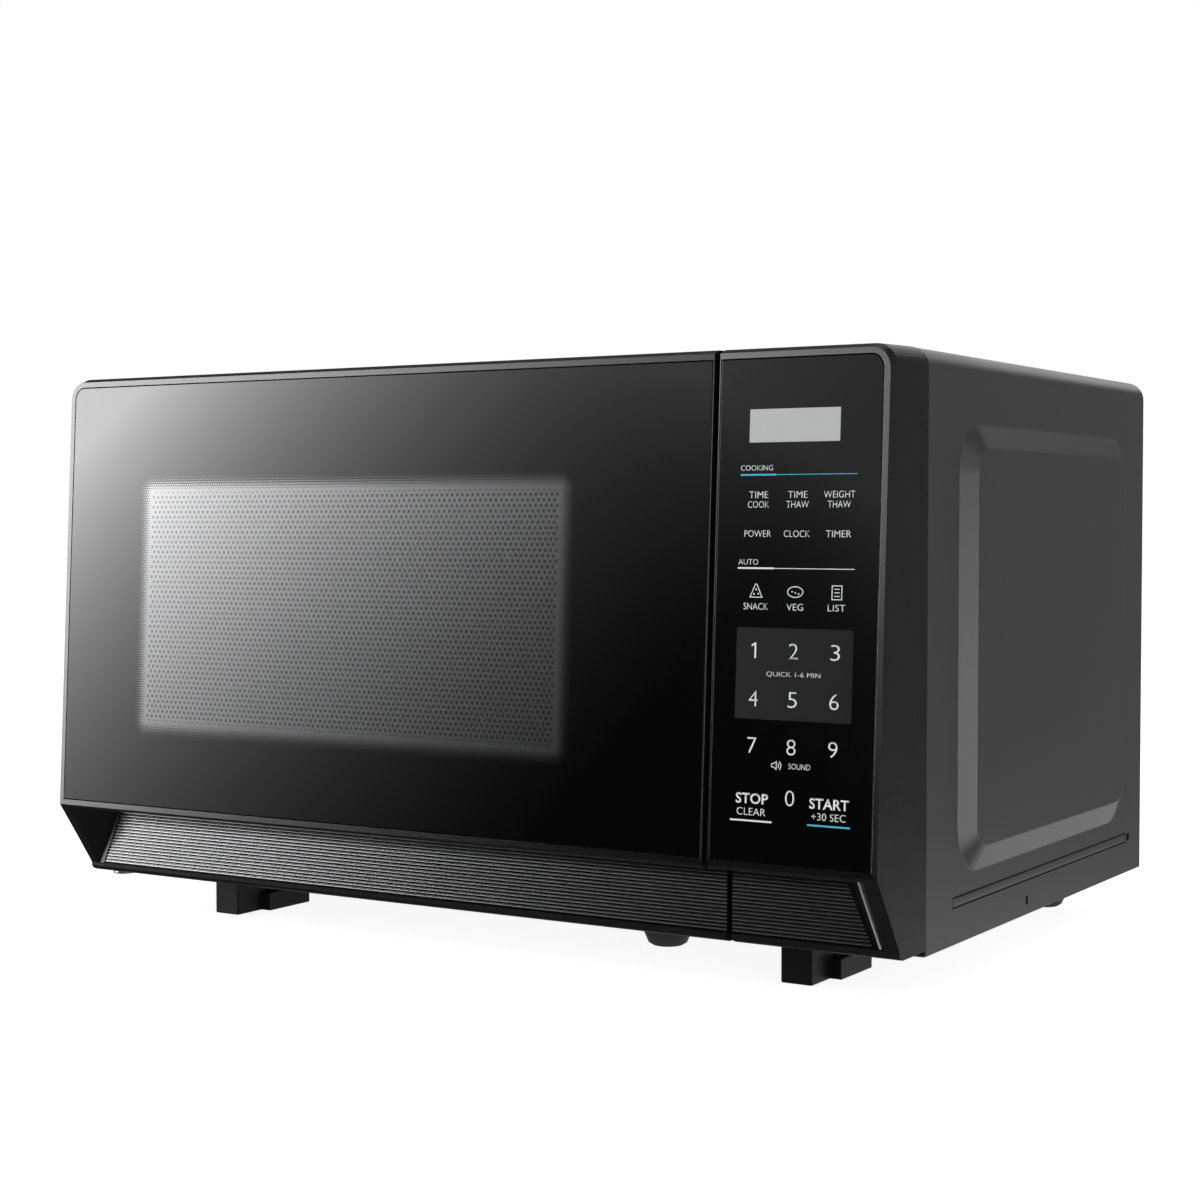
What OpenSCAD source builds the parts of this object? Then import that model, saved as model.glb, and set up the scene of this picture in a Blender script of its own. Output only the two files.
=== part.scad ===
// Countertop microwave oven: side-hinged door, touch panel, turntable and
// power electronics. Origin at the middle of the footprint, on the ground.
// +X to the oven's right as seen from the front, +Y to the rear, +Z up.

/* [Cabinet] */
// Width of the cabinet, door and control panel together
body_w = 440; // [430:1:450]
// Depth from the lower edge of the front glass to the rear edge
body_d = 323; // [318:1:340]
// Height from the ground to the top of the cabinet
body_h = 267; // [264:1:272]
// Height of the feet below the base plate
foot_h = 18.7; // [16:0.1:19]
// Thickness of the painted steel wrap
cover_t = 1; // [0.8:0.1:1.2]
// Radius of the two long top edges of the wrap
cover_r = 9; // [6:0.5:12]
// How far the pressed panel stands out of each side
relief_h = 4.5; // [3:0.5:5]
// Thickness of the inner sheet steel
sheet_t = 0.8; // [0.6:0.1:1]

/* [Front] */
// Depth of the door and control panel mouldings
front_depth = 48; // [46:0.5:50]
// How far the top of the front face leans back
lean = 11; // [8:0.5:13]
// Height of the lower edge of the front face
face_z0 = 57; // [56:0.5:58]
// Height of the upper edge of the front face
face_z1 = 264.6; // [263:0.1:265]
// Height of the underside of the chin
chin_z = 21.4; // [21.2:0.1:22]
// Depth of the finger recess under the face
chin_depth = 22; // [20:0.5:22]
// Width of the door
door_w = 361.9; // [358:0.1:364]
// Gap between the door and the control panel
door_gap = 2.6; // [2:0.1:3]
// Width of the satin border round the two glass plates
border = 2.5; // [2:0.1:4]
// Thickness of the two glass plates
glass_t = 3.2; // [2.5:0.1:4]
// Number of ribs on the wall of the finger recess
rib_count = 17; // [10:1:20]

/* [Cavity] */
// Width of the cooking cavity
cavity_w = 310; // [300:1:312]
// Height of the cooking cavity
cavity_h = 199; // [180:1:200]
// Depth of the cooking cavity
cavity_d = 262; // [240:1:264]
// Distance from the left side of the cabinet to the cavity
cavity_in = 17; // [16:0.5:20]
// Height of the cavity floor
cavity_z = 48; // [47:0.5:49]

/* [Turntable] */
// Diameter of the glass tray
tray_d = 245; // [200:1:250]
// Radius of the circle that the rollers run on
roller_track_r = 99; // [80:1:100]
// Diameter of a roller
roller_d = 14; // [12:0.5:16]
// Thickness of a roller
roller_w = 5; // [4:0.5:6]
// Clearance of the rollers above the floor and below the tray
roller_gap = 0.3; // [0.2:0.05:0.4]

/* [Door hinge and latch] */
// Distance of the hinge axis from the left side of the door
hinge_in = 12; // [11:0.5:13]
// Distance of the hinge axis in front of the door's back
hinge_out = 15; // [14:0.5:16]
// Diameter of the hinge pins
pin_d = 6; // [5:0.5:6]
// Diametral clearance of each running fit
running_fit = 0.1; // [0.04:0.02:0.16]
// Travel of the latch hooks when they are lifted
latch_travel = 4; // [3:0.5:5]

/* [Hidden] */
$fn = 48;
e = 0.01;
x0 = -body_w / 2;
x1 = body_w / 2;
y0 = -body_d / 2;
y1 = body_d / 2;
plate_y = y0 + front_depth;
back_y = plate_y - 0.5;
door_x1 = x0 + door_w;
panel_x0 = door_x1 + door_gap;
base_top = foot_h + sheet_t;
pressed_r = 17;
axis_x = x0 + hinge_in;
axis_y = back_y - hinge_out;
cav_x0 = x0 + cavity_in;
cav_x1 = cav_x0 + cavity_w;
cav_y0 = plate_y + sheet_t;
cav_y1 = cav_y0 + cavity_d;
cav_z1 = cavity_z + cavity_h;
tt_x = (cav_x0 + cav_x1) / 2;
tt_y = (cav_y0 + cav_y1) / 2;
roller_z = cavity_z + roller_gap + roller_d / 2;
tray_z = roller_z + roller_d / 2 + roller_gap;
bay_x0 = cav_x1 + sheet_t;
bay_x1 = x1 - cover_t;
glass_z0 = face_z0 + 2;
glass_z1 = face_z1 - 3.1;
wall_y = y0 + chin_depth;
rail_z = chin_z + 3;
hook_zs = [73, 213];
hook_x = 126.5;
fan_x = 165;
fan_z = 190;
fan_y = 112;
shaft_r = 1.5;
mag_y = 20;
mag_z = 160;

function face_y(z) = y0 + (z - face_z0) * lean / (face_z1 - face_z0);
// The end wall of the finger recess: distance from the outer side at depth y and height z
function splay(y, z) = -16.74 + 0.5556 * y + 0.375 * z;

// Points along a helix of wire, ring by ring, for the latch spring
spring_turns = 8;
spring_sides = 8;
spring_steps = 12;
spring_r = 3;
wire_r = 0.35;

// Box between two corners
module box(a, b) { translate(a) cube(b - a); }
// Outline in Y and Z, drawn along X
module slab_x(a, b) { translate([a, 0, 0]) rotate([90, 0, 90]) linear_extrude(b - a) children(); }
// Outline in X and Z, drawn along Y
module slab_y(a, b) { translate([0, b, 0]) rotate([90, 0, 0]) linear_extrude(b - a) children(); }
// Rod along Y
module rod_y(x, y, z, l, r) { translate([x, y, z]) rotate([-90, 0, 0]) cylinder(r = r, h = l); }
// Rod along X
module rod_x(x, y, z, l, r) { translate([x, y, z]) rotate([0, 90, 0]) cylinder(r = r, h = l); }
// Rectangle with a radius at each corner: lower left, lower right, upper right, upper left
module plate_2d(a, b, r) {
    difference() {
        translate(a) square(b - a);
        for (c = [[a.x, a.y, 1, 1, r[0]], [b.x, a.y, -1, 1, r[1]],
                  [b.x, b.y, -1, -1, r[2]], [a.x, b.y, 1, -1, r[3]]])
            if (c[4] > 0) translate([c.x, c.y]) scale([c[2], c[3]]) difference() {
                translate([-1, -1]) square(c[4] + 1);
                translate([c[4], c[4]]) circle(c[4]);
            }
    }
}

// ---- Cabinet ----

foot_spots = [[180, 131], [-180, 131], [68, -60]];

module pressed_foot(x, y) {
    translate([x, y, 0]) rotate_extrude()
        polygon([[0, 0], [7, 0], [9, 1.2], [pressed_r, foot_h + e], [pressed_r, base_top],
                 [pressed_r - 1.4, base_top], [7.6, 1.8], [6.6, 1], [0, 1]]);
}

module pressed_feet() {
    color("#3a3a3c") for (s = foot_spots) pressed_foot(s.x, s.y);
}

module base_plate() {
    color("#3a3a3c") {
        difference() {
            box([x0 + cover_t, plate_y + e, foot_h], [x1 - cover_t, y1 - 3, base_top]);
            for (s = foot_spots) translate([s.x, s.y, foot_h - 1]) cylinder(r = pressed_r, h = 3);
            for (i = [0:9]) box([118 + i * 9, 96, foot_h - 1], [122 + i * 9, 116, base_top + 1]);
        }
        for (s = [x0 + cover_t, x1 - cover_t - sheet_t])
            box([s, plate_y + 2, foot_h], [s + sheet_t, y1 - 3, foot_h + 14]);
        box([x0 + cover_t, y1 - 3 - sheet_t, foot_h], [x1 - cover_t, y1 - 3, foot_h + 10]);
    }
}

// Raised side panel: wide at the side, narrower at its flat top
module side_relief(grow) {
    hull() {
        slab_side(x1 - 2, x1 - grow + e, 0, 20);
        slab_side(x1 - 2, x1 + relief_h - grow, 10.5 + grow * 0.6, 13);
    }
}
module slab_side(a, b, inset, r) {
    slab_x(a, b) plate_2d([y0 + 80 + inset, 47 + inset], [y0 + 294 - inset, 238 - inset],
                          [r, r, r, r], $fn = 32);
}

module outer_cover() {
    color("#434345") difference() {
        union() {
            slab_y(plate_y, y1) plate_2d([x0, foot_h + 0.3], [x1, body_h], [0, 0, cover_r, cover_r]);
            side_relief(0);
            mirror([1, 0, 0]) side_relief(0);
        }
        slab_y(plate_y - 1, y1 + 1)
            plate_2d([x0 + cover_t, foot_h - 1], [x1 - cover_t, body_h - cover_t],
                     [0, 0, cover_r - cover_t, cover_r - cover_t]);
        side_relief(cover_t);
        mirror([1, 0, 0]) side_relief(cover_t);
        for (s = [-1, 1]) rod_x(s > 0 ? x1 - 3 : x0 - 1, y1 - 16, 36.5, 4, 1.6);
    }
}

module rear_panel() {
    color("#6f7173") difference() {
        slab_y(y1 - 2.2, y1 - 1.4)
            plate_2d([x0 + cover_t + 0.2, base_top + 0.2],
                     [x1 - cover_t - 0.2, body_h - cover_t - 0.2], [0, 0, cover_r, cover_r]);
        for (r = [0:7]) for (c = [0:4])
            box([118 + c * 19, y1 - 4, 130 + r * 9], [132 + c * 19, y1, 134 + r * 9]);
        for (r = [0:5]) box([-120 + r * 14, y1 - 4, 200], [-112 + r * 14, y1, 230]);
        rod_y(gland_x, y1 - 4, gland_z, 6, 6.5);
    }
}
gland_x = 190;
gland_z = 62;

module cable_gland() {
    color("#1a1a1a") difference() {
        union() {
            rod_y(gland_x, y1 - 2.2, gland_z, sheet_t, 6.5);
            rod_y(gland_x, y1 - 1.4, gland_z, 1.4, 8.5);
            rod_y(gland_x, y1 - 6, gland_z, 3.8, 8.5);
        }
        rod_y(gland_x, y1 - 8, gland_z, 10, 3.6);
    }
}

screw_spots = [[-205, 240], [205, 240], [-205, 110], [205, 110], [-205, 34], [205, 34]];
module cover_screws() {
    color("#9a9c9e") for (s = screw_spots) {
        rod_y(s.x, y1 - 1.4, s.y, 1.3, 4);
    }
}

// Front foot: a tall narrow block and a lower, wider arm behind it
module foot(x, y) {
    box([x - 7.4, y, 0], [x + 7.4, y + 22, foot_h]);
    box([x - 12.4, y + 18, 0], [x + 12.4, y + 50, 9]);
    box([x - 8.5, y + 22, 9], [x + 8.5, y + 34, foot_h]);
}
module front_left_foot() { color("#151515") foot(x0 + 61.3, y0 + 53); }
module front_right_foot() { color("#151515") foot(x1 - 61.3, y0 + 53); }

// ---- Cavity ----

module front_plate() {
    color("#b9bbbd") difference() {
        box([x0 + cover_t + 0.1, plate_y, chin_z - 0.2],
            [x1 - cover_t - 0.1, cav_y0, body_h - cover_t - 1]);
        for (s = [-1, 1]) translate([s * (x1 - cover_t), 0, body_h - cover_t])
            rotate([90, 45, 0]) cube([12, 12, 400], center = true);
        box([cav_x0, plate_y - 1, cavity_z], [cav_x1, cav_y0 + 1, cav_z1]);
        for (z = hook_zs)
            box([hook_x - 7, plate_y - 1, z - 10], [hook_x + 7.5, cav_y0 + 1, z + 10]);
        box([axis_x - 6, plate_y - 1, 249.5], [axis_x + 6, cav_y0 + 1, 252.5]);
        box([150, plate_y - 1, 70], [212, cav_y0 + 1, 245]);
    }
}

module cavity_floor() {
    color("#c9cacb") difference() {
        union() {
            box([cav_x0 - sheet_t, cav_y0, cavity_z - sheet_t],
                [cav_x1 + sheet_t, cav_y1 + sheet_t, cavity_z]);
            translate([tt_x, tt_y, cavity_z - sheet_t]) cylinder(r = 12, h = sheet_t + 1);
        }
        translate([tt_x, tt_y, cavity_z - 3]) cylinder(r = 4.2, h = 8);
    }
}
module cavity_ceiling() {
    color("#c9cacb")
        box([cav_x0 - sheet_t, cav_y0, cav_z1], [cav_x1 + sheet_t, cav_y1 + sheet_t, cav_z1 + sheet_t]);
}
module cavity_left_wall() {
    color("#c9cacb") box([cav_x0 - sheet_t, cav_y0, cavity_z], [cav_x0, cav_y1, cav_z1]);
}
module cavity_right_wall() {
    color("#c9cacb") difference() {
        box([cav_x1, cav_y0, cavity_z], [cav_x1 + sheet_t, cav_y1, cav_z1]);
        box([cav_x1 - 1, mag_y - 40, mag_z - 28], [cav_x1 + 2, mag_y + 30, mag_z + 28]);
        for (r = [0:5]) for (c = [0:5]) rod_x(cav_x1 - 1, -60 + c * 6, 175 + r * 6, 3, 1.6);
        for (r = [0:3]) for (c = [0:3]) rod_x(cav_x1 - 1, 106 + c * 6, 206 + r * 6, 3, 1.6);
    }
}
module cavity_rear_wall() {
    color("#c9cacb") difference() {
        box([cav_x0 - sheet_t, cav_y1, cavity_z], [cav_x1 + sheet_t, cav_y1 + sheet_t, cav_z1]);
        for (r = [0:4]) for (c = [0:8])
            rod_y(-140 + c * 6, cav_y1 - 1, 205 + r * 6, 3, 1.6);
    }
}
module waveguide_cover() {
    color("#b7ab8c")
        box([cav_x1 - 0.6, mag_y - 46, mag_z - 34], [cav_x1, mag_y + 36, mag_z + 34]);
}

// ---- Turntable ----

module turntable_motor() {
    color("#c2c4c6") {
        translate([tt_x, tt_y, cavity_z - sheet_t - 16]) cylinder(r = 24.5, h = 16);
        box([tt_x - 34, tt_y - 5, cavity_z - sheet_t - 2], [tt_x + 34, tt_y + 5, cavity_z - sheet_t]);
        box([tt_x + 20, tt_y - 9, cavity_z - sheet_t - 14], [tt_x + 33, tt_y + 9, cavity_z - sheet_t - 4]);
    }
}
module turntable_coupler() {
    color("#e6e2d6") {
        translate([tt_x, tt_y, cavity_z - sheet_t + 0.2]) cylinder(r = 3.9, h = 3);
        translate([tt_x, tt_y, cavity_z + 1.3]) cylinder(r = 8.5, h = tray_z - cavity_z - 1.6);
        for (a = [0:120:240]) translate([tt_x, tt_y, cavity_z + 4]) rotate([0, 0, a])
            translate([0, -2.2, 0]) cube([17, 4.4, tray_z - cavity_z - 4.3]);
    }
}
module glass_tray() {
    color([0.8, 0.9, 0.9, 0.5]) translate([tt_x, tt_y, tray_z]) {
        rotate_extrude($fn = 96) polygon([[0, 0], [tray_d / 2 - 12, 0], [tray_d / 2, 11],
            [tray_d / 2, 13.5], [tray_d / 2 - 2.5, 13.5], [tray_d / 2 - 13.5, 4.5], [0, 4.5]]);
    }
}
module roller_ring() {
    color("#dcd8cc") {
        translate([tt_x, tt_y, roller_z - 3]) rotate_extrude($fn = 96)
            translate([roller_track_r - 12, 0]) square([5, 6]);
        for (a = [90:120:330]) translate([tt_x, tt_y, roller_z]) rotate([0, 0, a])
            rod_x(roller_track_r - 8, 0, 0, 8 + roller_w / 2 + 1, 1.5);
    }
}
module roller(a) {
    color("#efece2") translate([tt_x, tt_y, roller_z]) rotate([0, 0, a]) difference() {
        rod_x(roller_track_r - roller_w / 2, 0, 0, roller_w, roller_d / 2);
        rod_x(roller_track_r - roller_w, 0, 0, 2 * roller_w, 1.5 + running_fit / 2);
    }
}
module roller_a() { roller(90); }
module roller_b() { roller(210); }
module roller_c() { roller(330); }

// ---- Power electronics ----

module waveguide() {
    color("#b9bbbd") difference() {
        box([bay_x0, mag_y - 44, mag_z - 32], [bay_x0 + 22, mag_y + 34, mag_z + 32]);
        box([bay_x0 - 1, mag_y - 43, mag_z - 31], [bay_x0 + 21, mag_y + 33, mag_z + 31]);
        rod_x(bay_x0 + 15, mag_y + 8, mag_z, 10, 12);
    }
}
module magnetron_case() {
    color("#a8aaac") difference() {
        box([bay_x0 + 22, mag_y - 37, mag_z - 32], [bay_x0 + 78, mag_y + 53, mag_z + 32]);
        box([bay_x0 + 24, mag_y - 38, mag_z - 30], [bay_x0 + 76, mag_y + 54, mag_z + 30]);
        rod_x(bay_x0 + 20, mag_y + 8, mag_z, 6, 12);
    }
}
module magnetron_fins() {
    color("#d4d6d8") {
        rod_x(bay_x0 + 26, mag_y + 8, mag_z, 44, 20);
        for (i = [0:6])
            box([bay_x0 + 32 + i * 5, mag_y - 30, mag_z - 29], [bay_x0 + 33 + i * 5, mag_y + 46, mag_z + 29]);
    }
}
module magnetron_antenna() {
    color("#c98d4a") {
        rod_x(bay_x0 + 18, mag_y + 8, mag_z, 8, 11.5);
        rod_x(bay_x0 + 4, mag_y + 8, mag_z, 14, 8);
    }
}
module transformer_core() {
    color("#5a5350") difference() {
        box([130, -10, base_top], [208, 66, base_top + 62]);
        for (y = [0, 38]) box([129, y, base_top + 12], [209, y + 18, base_top + 50]);
    }
}
module transformer_windings() {
    color("#b06a2c") for (w = [[122, 128], [210, 216]]) {
        box([w[0], 0, base_top + 12], [w[1], 56, base_top + 50]);
    }
    color("#b06a2c") for (y = [0.4, 38.4])
        box([128, y, base_top + 12.4], [210, y + 17.2, base_top + 49.6]);
}
can_y = -45;
can_x = [150, 178];
module can_outline(grow) {
    for (x = can_x) translate([x, can_y]) circle(17 + grow);
    translate([can_x[0], can_y - 17 - grow]) square([can_x[1] - can_x[0], 34 + 2 * grow]);
}
module slab_z(a, b) { translate([0, 0, a]) linear_extrude(b - a) children(); }
module capacitor() {
    color("#c4c6c8") {
        slab_z(base_top, base_top + 88) can_outline(0);
        for (x = [156, 172]) translate([x, can_y, base_top + 88]) cylinder(r = 3, h = 9);
    }
}
module capacitor_clamp() {
    color("#8f9193") slab_z(base_top + 40, base_top + 52) difference() {
        union() {
            can_outline(1);
            translate([can_x[1], can_y - 1]) square([bay_x1 - can_x[1] - 2, 2]);
        }
        can_outline(0);
    }
}
module diode() {
    color("#2a2a2a") rod_y(172, can_y + 3, base_top + 93, 20, 3.5);
}
module filter_board() {
    color("#3d6b3a") box([126, 40, 238], [206, 92, 239.6]);
    color("#d9d4c4") {
        box([132, 46, 239.6], [160, 70, 254]);
        translate([186, 62, 239.6]) cylinder(r = 11, h = 10);
    }
}
module fan_shroud() {
    color("#d8d6cf") difference() {
        box([bay_x0 + 1, fan_y - 2, 110], [bay_x1 - 1, fan_y + 22, 245]);
        box([bay_x0 + 3, fan_y, 112], [bay_x1 - 3, fan_y + 23, 243]);
        rod_y(fan_x, fan_y - 4, fan_z, 6, 45);
    }
    color("#d8d6cf") difference() {
        box([bay_x0 + 2, fan_y + 19, fan_z - 13], [bay_x1 - 2, fan_y + 22, fan_z + 13]);
        rod_y(fan_x, fan_y + 18, fan_z, 5, 11);
    }
}
module fan_motor() {
    color("#8d8f91") difference() {
        union() {
            box([fan_x - 22, fan_y + 22, fan_z - 20], [fan_x + 22, fan_y + 40, fan_z + 30]);
            rod_y(fan_x, fan_y + 17, fan_z, 5, 10);
        }
        rod_y(fan_x, fan_y + 16, fan_z, 20, shaft_r + running_fit / 2);
    }
}
module fan_shaft() { color("#b9bbbd") rod_y(fan_x, fan_y + 1, fan_z, 33, shaft_r); }
module fan_blade() {
    color("#e2e2de") difference() {
        union() {
            rod_y(fan_x, fan_y + 2, fan_z, 12, 8);
            for (a = [0:72:288]) translate([fan_x, fan_y + 8, fan_z]) rotate([0, a, 0])
                rotate([32, 0, 0]) translate([6, -0.8, -9]) cube([35, 1.6, 18]);
        }
        rod_y(fan_x, fan_y, fan_z, 20, shaft_r);
    }
}
module air_duct() {
    color("#d8d6cf") difference() {
        box([bay_x0, -67, 165], [bay_x0 + 40, mag_y - 45, 218]);
        box([bay_x0 - 1, -65, 167], [bay_x0 + 38, mag_y - 47, 216]);
        box([bay_x0 + 24, mag_y - 50, 170], [bay_x0 + 37, mag_y - 40, 190]);
    }
}
module lamp_socket() {
    color("#d8d6cf") difference() {
        box([bay_x0, 100, 200], [bay_x0 + 34, 109, 232]);
        box([bay_x0 - 1, 99, 203], [bay_x0 + 26, 107, 229]);
    }
}
module lamp() {
    color("#f2efe0") {
        rod_x(bay_x0 + 2, 103, 216, 16, 3.8);
        rod_x(bay_x0 + 18, 103, 216, 7.9, 3);
    }
}
module thermal_cutouts() {
    color("#2b2b2b") {
        rod_x(bay_x0 + 78, mag_y, mag_z + 18, 8, 8);
        translate([tt_x, tt_y - 40, cav_z1 + sheet_t]) cylinder(r = 8, h = 8);
    }
}

// ---- Control panel ----

// Side view of the door and the control panel mouldings
module front_profile(back) {
    polygon([[y0, face_z0], [face_y(face_z1), face_z1], [face_y(face_z1) + 4, body_h - 1],
             [plate_y - 1, body_h], [back, body_h], [back, chin_z], [y0 + 25, chin_z],
             [y0 + 22.4, chin_z + 1], [y0 + 21.4, chin_z + 2.6], [y0 + 21.4, chin_z + 4.6]]);
}
// Glass plate that lies in the leaning front face
module glass_slab(a, b, r) {
    intersection() {
        slab_x(a, b) polygon([[face_y(glass_z0), glass_z0], [face_y(glass_z1), glass_z1],
            [face_y(glass_z1) + glass_t, glass_z1], [face_y(glass_z0) + glass_t, glass_z0]]);
        slab_y(y0 - 1, plate_y) plate_2d([a, glass_z0], [b, glass_z1], r);
    }
}
// Space of the finger recess, from its splayed end to a square end past x_end
module chin_pocket(cheek, x_end) {
    outline = [[-2, face_z0 - 1.6], [2.4, face_z0 - 1.6], [chin_depth, face_z0 - 4.4],
               [chin_depth, rail_z], [-2, rail_z]];
    n = len(outline);
    ends = [for (p = outline) [splay(p.x, p.y) + cheek, p.x + y0, p.y]];
    flat_end = [for (p = outline) [x_end, p.x + y0, p.y]];
    polyhedron(concat(ends, flat_end),
        concat([[for (i = [n - 1:-1:0]) i]], [[for (i = [0:n - 1]) n + i]],
               [for (i = [0:n - 1]) [i, (i + 1) % n, n + (i + 1) % n, n + i]]));
}
// Ribs on the recess wall; each starts further in towards the top
module chin_ribs(start, x_end) {
    pitch = (face_z0 - 6.2 - rail_z) / rib_count;
    for (i = [0:rib_count - 1])
        rod_x(start + 11.7 * i / (rib_count - 1), wall_y, rail_z + 1.4 + pitch * i,
              x_end - start - 11.7 * i / (rib_count - 1), 0.5, $fn = 16);
}

module panel_frame() {
    color("#2a2a2b") {
        difference() {
            intersection() {
                slab_x(panel_x0, x1) front_profile(plate_y);
                slab_y(y0 - 1, plate_y) plate_2d([panel_x0, chin_z], [x1, body_h], [0, 0, 8, 0]);
            }
            glass_slab(panel_x0 + border, x1 - border, [0, 0, 6, 0]);
            slab_x(panel_x0 + 4, x1 - 4) polygon([[face_y(64) + 6, 64], [face_y(258) + 6, 258],
                [plate_y + 1, 258], [plate_y + 1, 64]]);
            box([panel_x0 + 4, wall_y + 2.5, 26], [x1 - 12, plate_y + 1, 61]);
            slab_x(158, 200.5) polygon([[y0 - 1, 227], [y0 - 1, 243], [plate_y, 243], [plate_y, 227]]);
            translate([panel_x0 + x1, 0, 0]) mirror([1, 0, 0]) translate([panel_x0, 0, 0])
                chin_pocket(2.2, x1 - panel_x0 + 1);
        }
        translate([x1, 0, 0]) mirror([1, 0, 0]) chin_ribs(12, x1 - panel_x0 - e);
    }
}
module panel_glass() { color("#050505") glass_slab(panel_x0 + border, x1 - border, [0, 0, 6, 0]); }
module touch_sheet() {
    color("#33363a") slab_x(panel_x0 + 6, x1 - 6) polygon([[face_y(66) + 6.1, 66],
        [face_y(222) + 6.1, 222], [face_y(222) + 6.6, 222], [face_y(66) + 6.6, 66]]);
}
module control_board() {
    color("#2f5d34") box([panel_x0 + 6, y0 + 23, 70], [x1 - 6, y0 + 24.6, 250]);
    color("#1f1f1f") {
        box([158, y0 + 24.6, 92], [190, y0 + 42, 128]);
        box([196, y0 + 24.6, 150], [208, y0 + 38, 178]);
        translate([170, y0 + 24.6, 160]) rotate([-90, 0, 0]) cylinder(r = 6, h = 14);
    }
}
module display_module() {
    color("#b8baba") box([158.5, face_y(243) + glass_t, 227.5], [200, face_y(243) + 12.5, 242.5]);
}

module latch_bracket() {
    color("#d8d6cf") {
        box([137, cav_y0, 60], [139, cav_y0 + 44, 232]);
        box([139, cav_y0, 60], [148, cav_y0 + 2, 232]);
        for (z = hook_zs)
            box([113, cav_y0 + 26, z - 14], [137, cav_y0 + 40, z - 11]);
    }
}
module microswitches() {
    color("#1d1d1f") for (z = [68, 196, 214])
        box([139, cav_y0 + 8, z], [149, cav_y0 + 36, z + 14]);
}

// ---- Door hinge ----

module hinge_plate(z, flange_z0, flange_z1) {
    slab_z(z, z + 1.5) {
        translate([axis_x, axis_y]) circle(5.5);
        translate([axis_x - 5.5, axis_y]) square([11, cav_y0 + 1.5 - axis_y]);
    }
    box([axis_x - 5.5, cav_y0, flange_z0], [axis_x + 3.5, cav_y0 + 1.5, flange_z1]);
}
module upper_hinge() {
    color("#a8aaac") {
        hinge_plate(250, 226, 250);
        translate([axis_x, axis_y, 250]) cylinder(d = pin_d, h = 12);
    }
}
module lower_hinge() {
    color("#a8aaac") {
        hinge_plate(base_top + 0.1, base_top + 0.1, 46);
        translate([axis_x, axis_y, base_top]) cylinder(d = pin_d, h = 12);
    }
}

// ---- Door ----

// Plan view of the door; the rear corner by the hinge is cut to lie on a circle about its axis
corner_steps = 6;
module door_plan() {
    a1 = acos(-hinge_in / hinge_out);
    polygon(concat([[x0, y0 - 1]],
        [for (i = [0:corner_steps]) let (a = a1 + (90 - a1) * i / corner_steps)
            [axis_x + hinge_out * cos(a), axis_y + hinge_out * sin(a)]],
        [[door_x1, back_y], [door_x1, y0 - 1]]));
}
module door_frame() {
    color("#2a2a2b") {
        difference() {
            intersection() {
                slab_x(x0, door_x1) front_profile(back_y);
                slab_y(y0 - 1, back_y) plate_2d([x0, chin_z], [door_x1, body_h], [0, 0, 0, 8]);
                slab_z(0, body_h + 1) door_plan();
            }
            glass_slab(x0 + border, door_x1 - border, [0, 0, 0, 6]);
            box([x0 + 6, y0 - 1, 64], [door_x1 - 6, plate_y, 256]);
            box([x0 + 24, wall_y + 2.5, 26], [door_x1 - 6, plate_y, 60]);
            box([x0 - 1, axis_y - 9.6, 249], [x0 + 7, plate_y, 252.6]);
            translate([axis_x, axis_y, 250]) cylinder(d = pin_d + running_fit, h = 13);
            translate([axis_x, axis_y, 15]) cylinder(d = pin_d + running_fit, h = 18);
            translate([x0, 0, 0]) chin_pocket(0, door_w + 1);
        }
        chin_ribs(x0 + 8, door_x1 - e);
    }
}
module door_glass() { color("#050505") glass_slab(x0 + border, door_x1 - border, [0, 0, 0, 6]); }

pan_x0 = x0 + 24;
pan_x1 = door_x1 - 24;
window_x0 = x0 + 44;
window_x1 = x0 + 300;
window_z0 = 90;
window_z1 = 218;
pan_y = back_y - 22;

module door_pan() {
    color("#1c1c1e") {
        difference() {
            box([pan_x0, pan_y, 65], [pan_x1, back_y - 3, 255]);
            box([pan_x0 + sheet_t, pan_y + sheet_t, 65 + sheet_t],
                [pan_x1 - sheet_t, back_y, 255 - sheet_t]);
            box([window_x0, pan_y - 1, window_z0], [window_x1, back_y, window_z1]);
        }
    }
}
module door_screen() {
    color("#2c2c2e")
        box([window_x0 - 6, pan_y - 0.4, window_z0 - 6], [window_x1 + 6, pan_y, window_z1 + 6]);
}
module door_film() {
    color([0.6, 0.6, 0.62, 0.4])
        box([window_x0 - 8, back_y - 3.4, window_z0 - 8], [window_x1 + 8, back_y - 3, window_z1 + 8]);
}
module door_inner_cover() {
    color("#1f1f21") difference() {
        box([pan_x0 - 2, back_y - 3, 64.2], [door_x1 - 6.2, back_y, 255.8]);
        box([window_x0, back_y - 5, window_z0], [window_x1, back_y + 1, window_z1]);
        for (z = hook_zs)
            box([hook_x - 5, back_y - 5, z - 8.5], [hook_x + 5, back_y + 1, z + 8.5]);
    }
}
module latch_hooks() {
    color("#e4e1d8") {
        box([hook_x - 4, back_y - 16, 66], [hook_x + 4, back_y - 10, 222]);
        for (z = hook_zs) {
            box([hook_x - 3, back_y - 10, z - 2], [hook_x + 3, back_y + 19, z + 3.5]);
            box([hook_x - 3, back_y + 13, z - 5], [hook_x + 3, back_y + 19, z - 2]);
        }
    }
}
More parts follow.
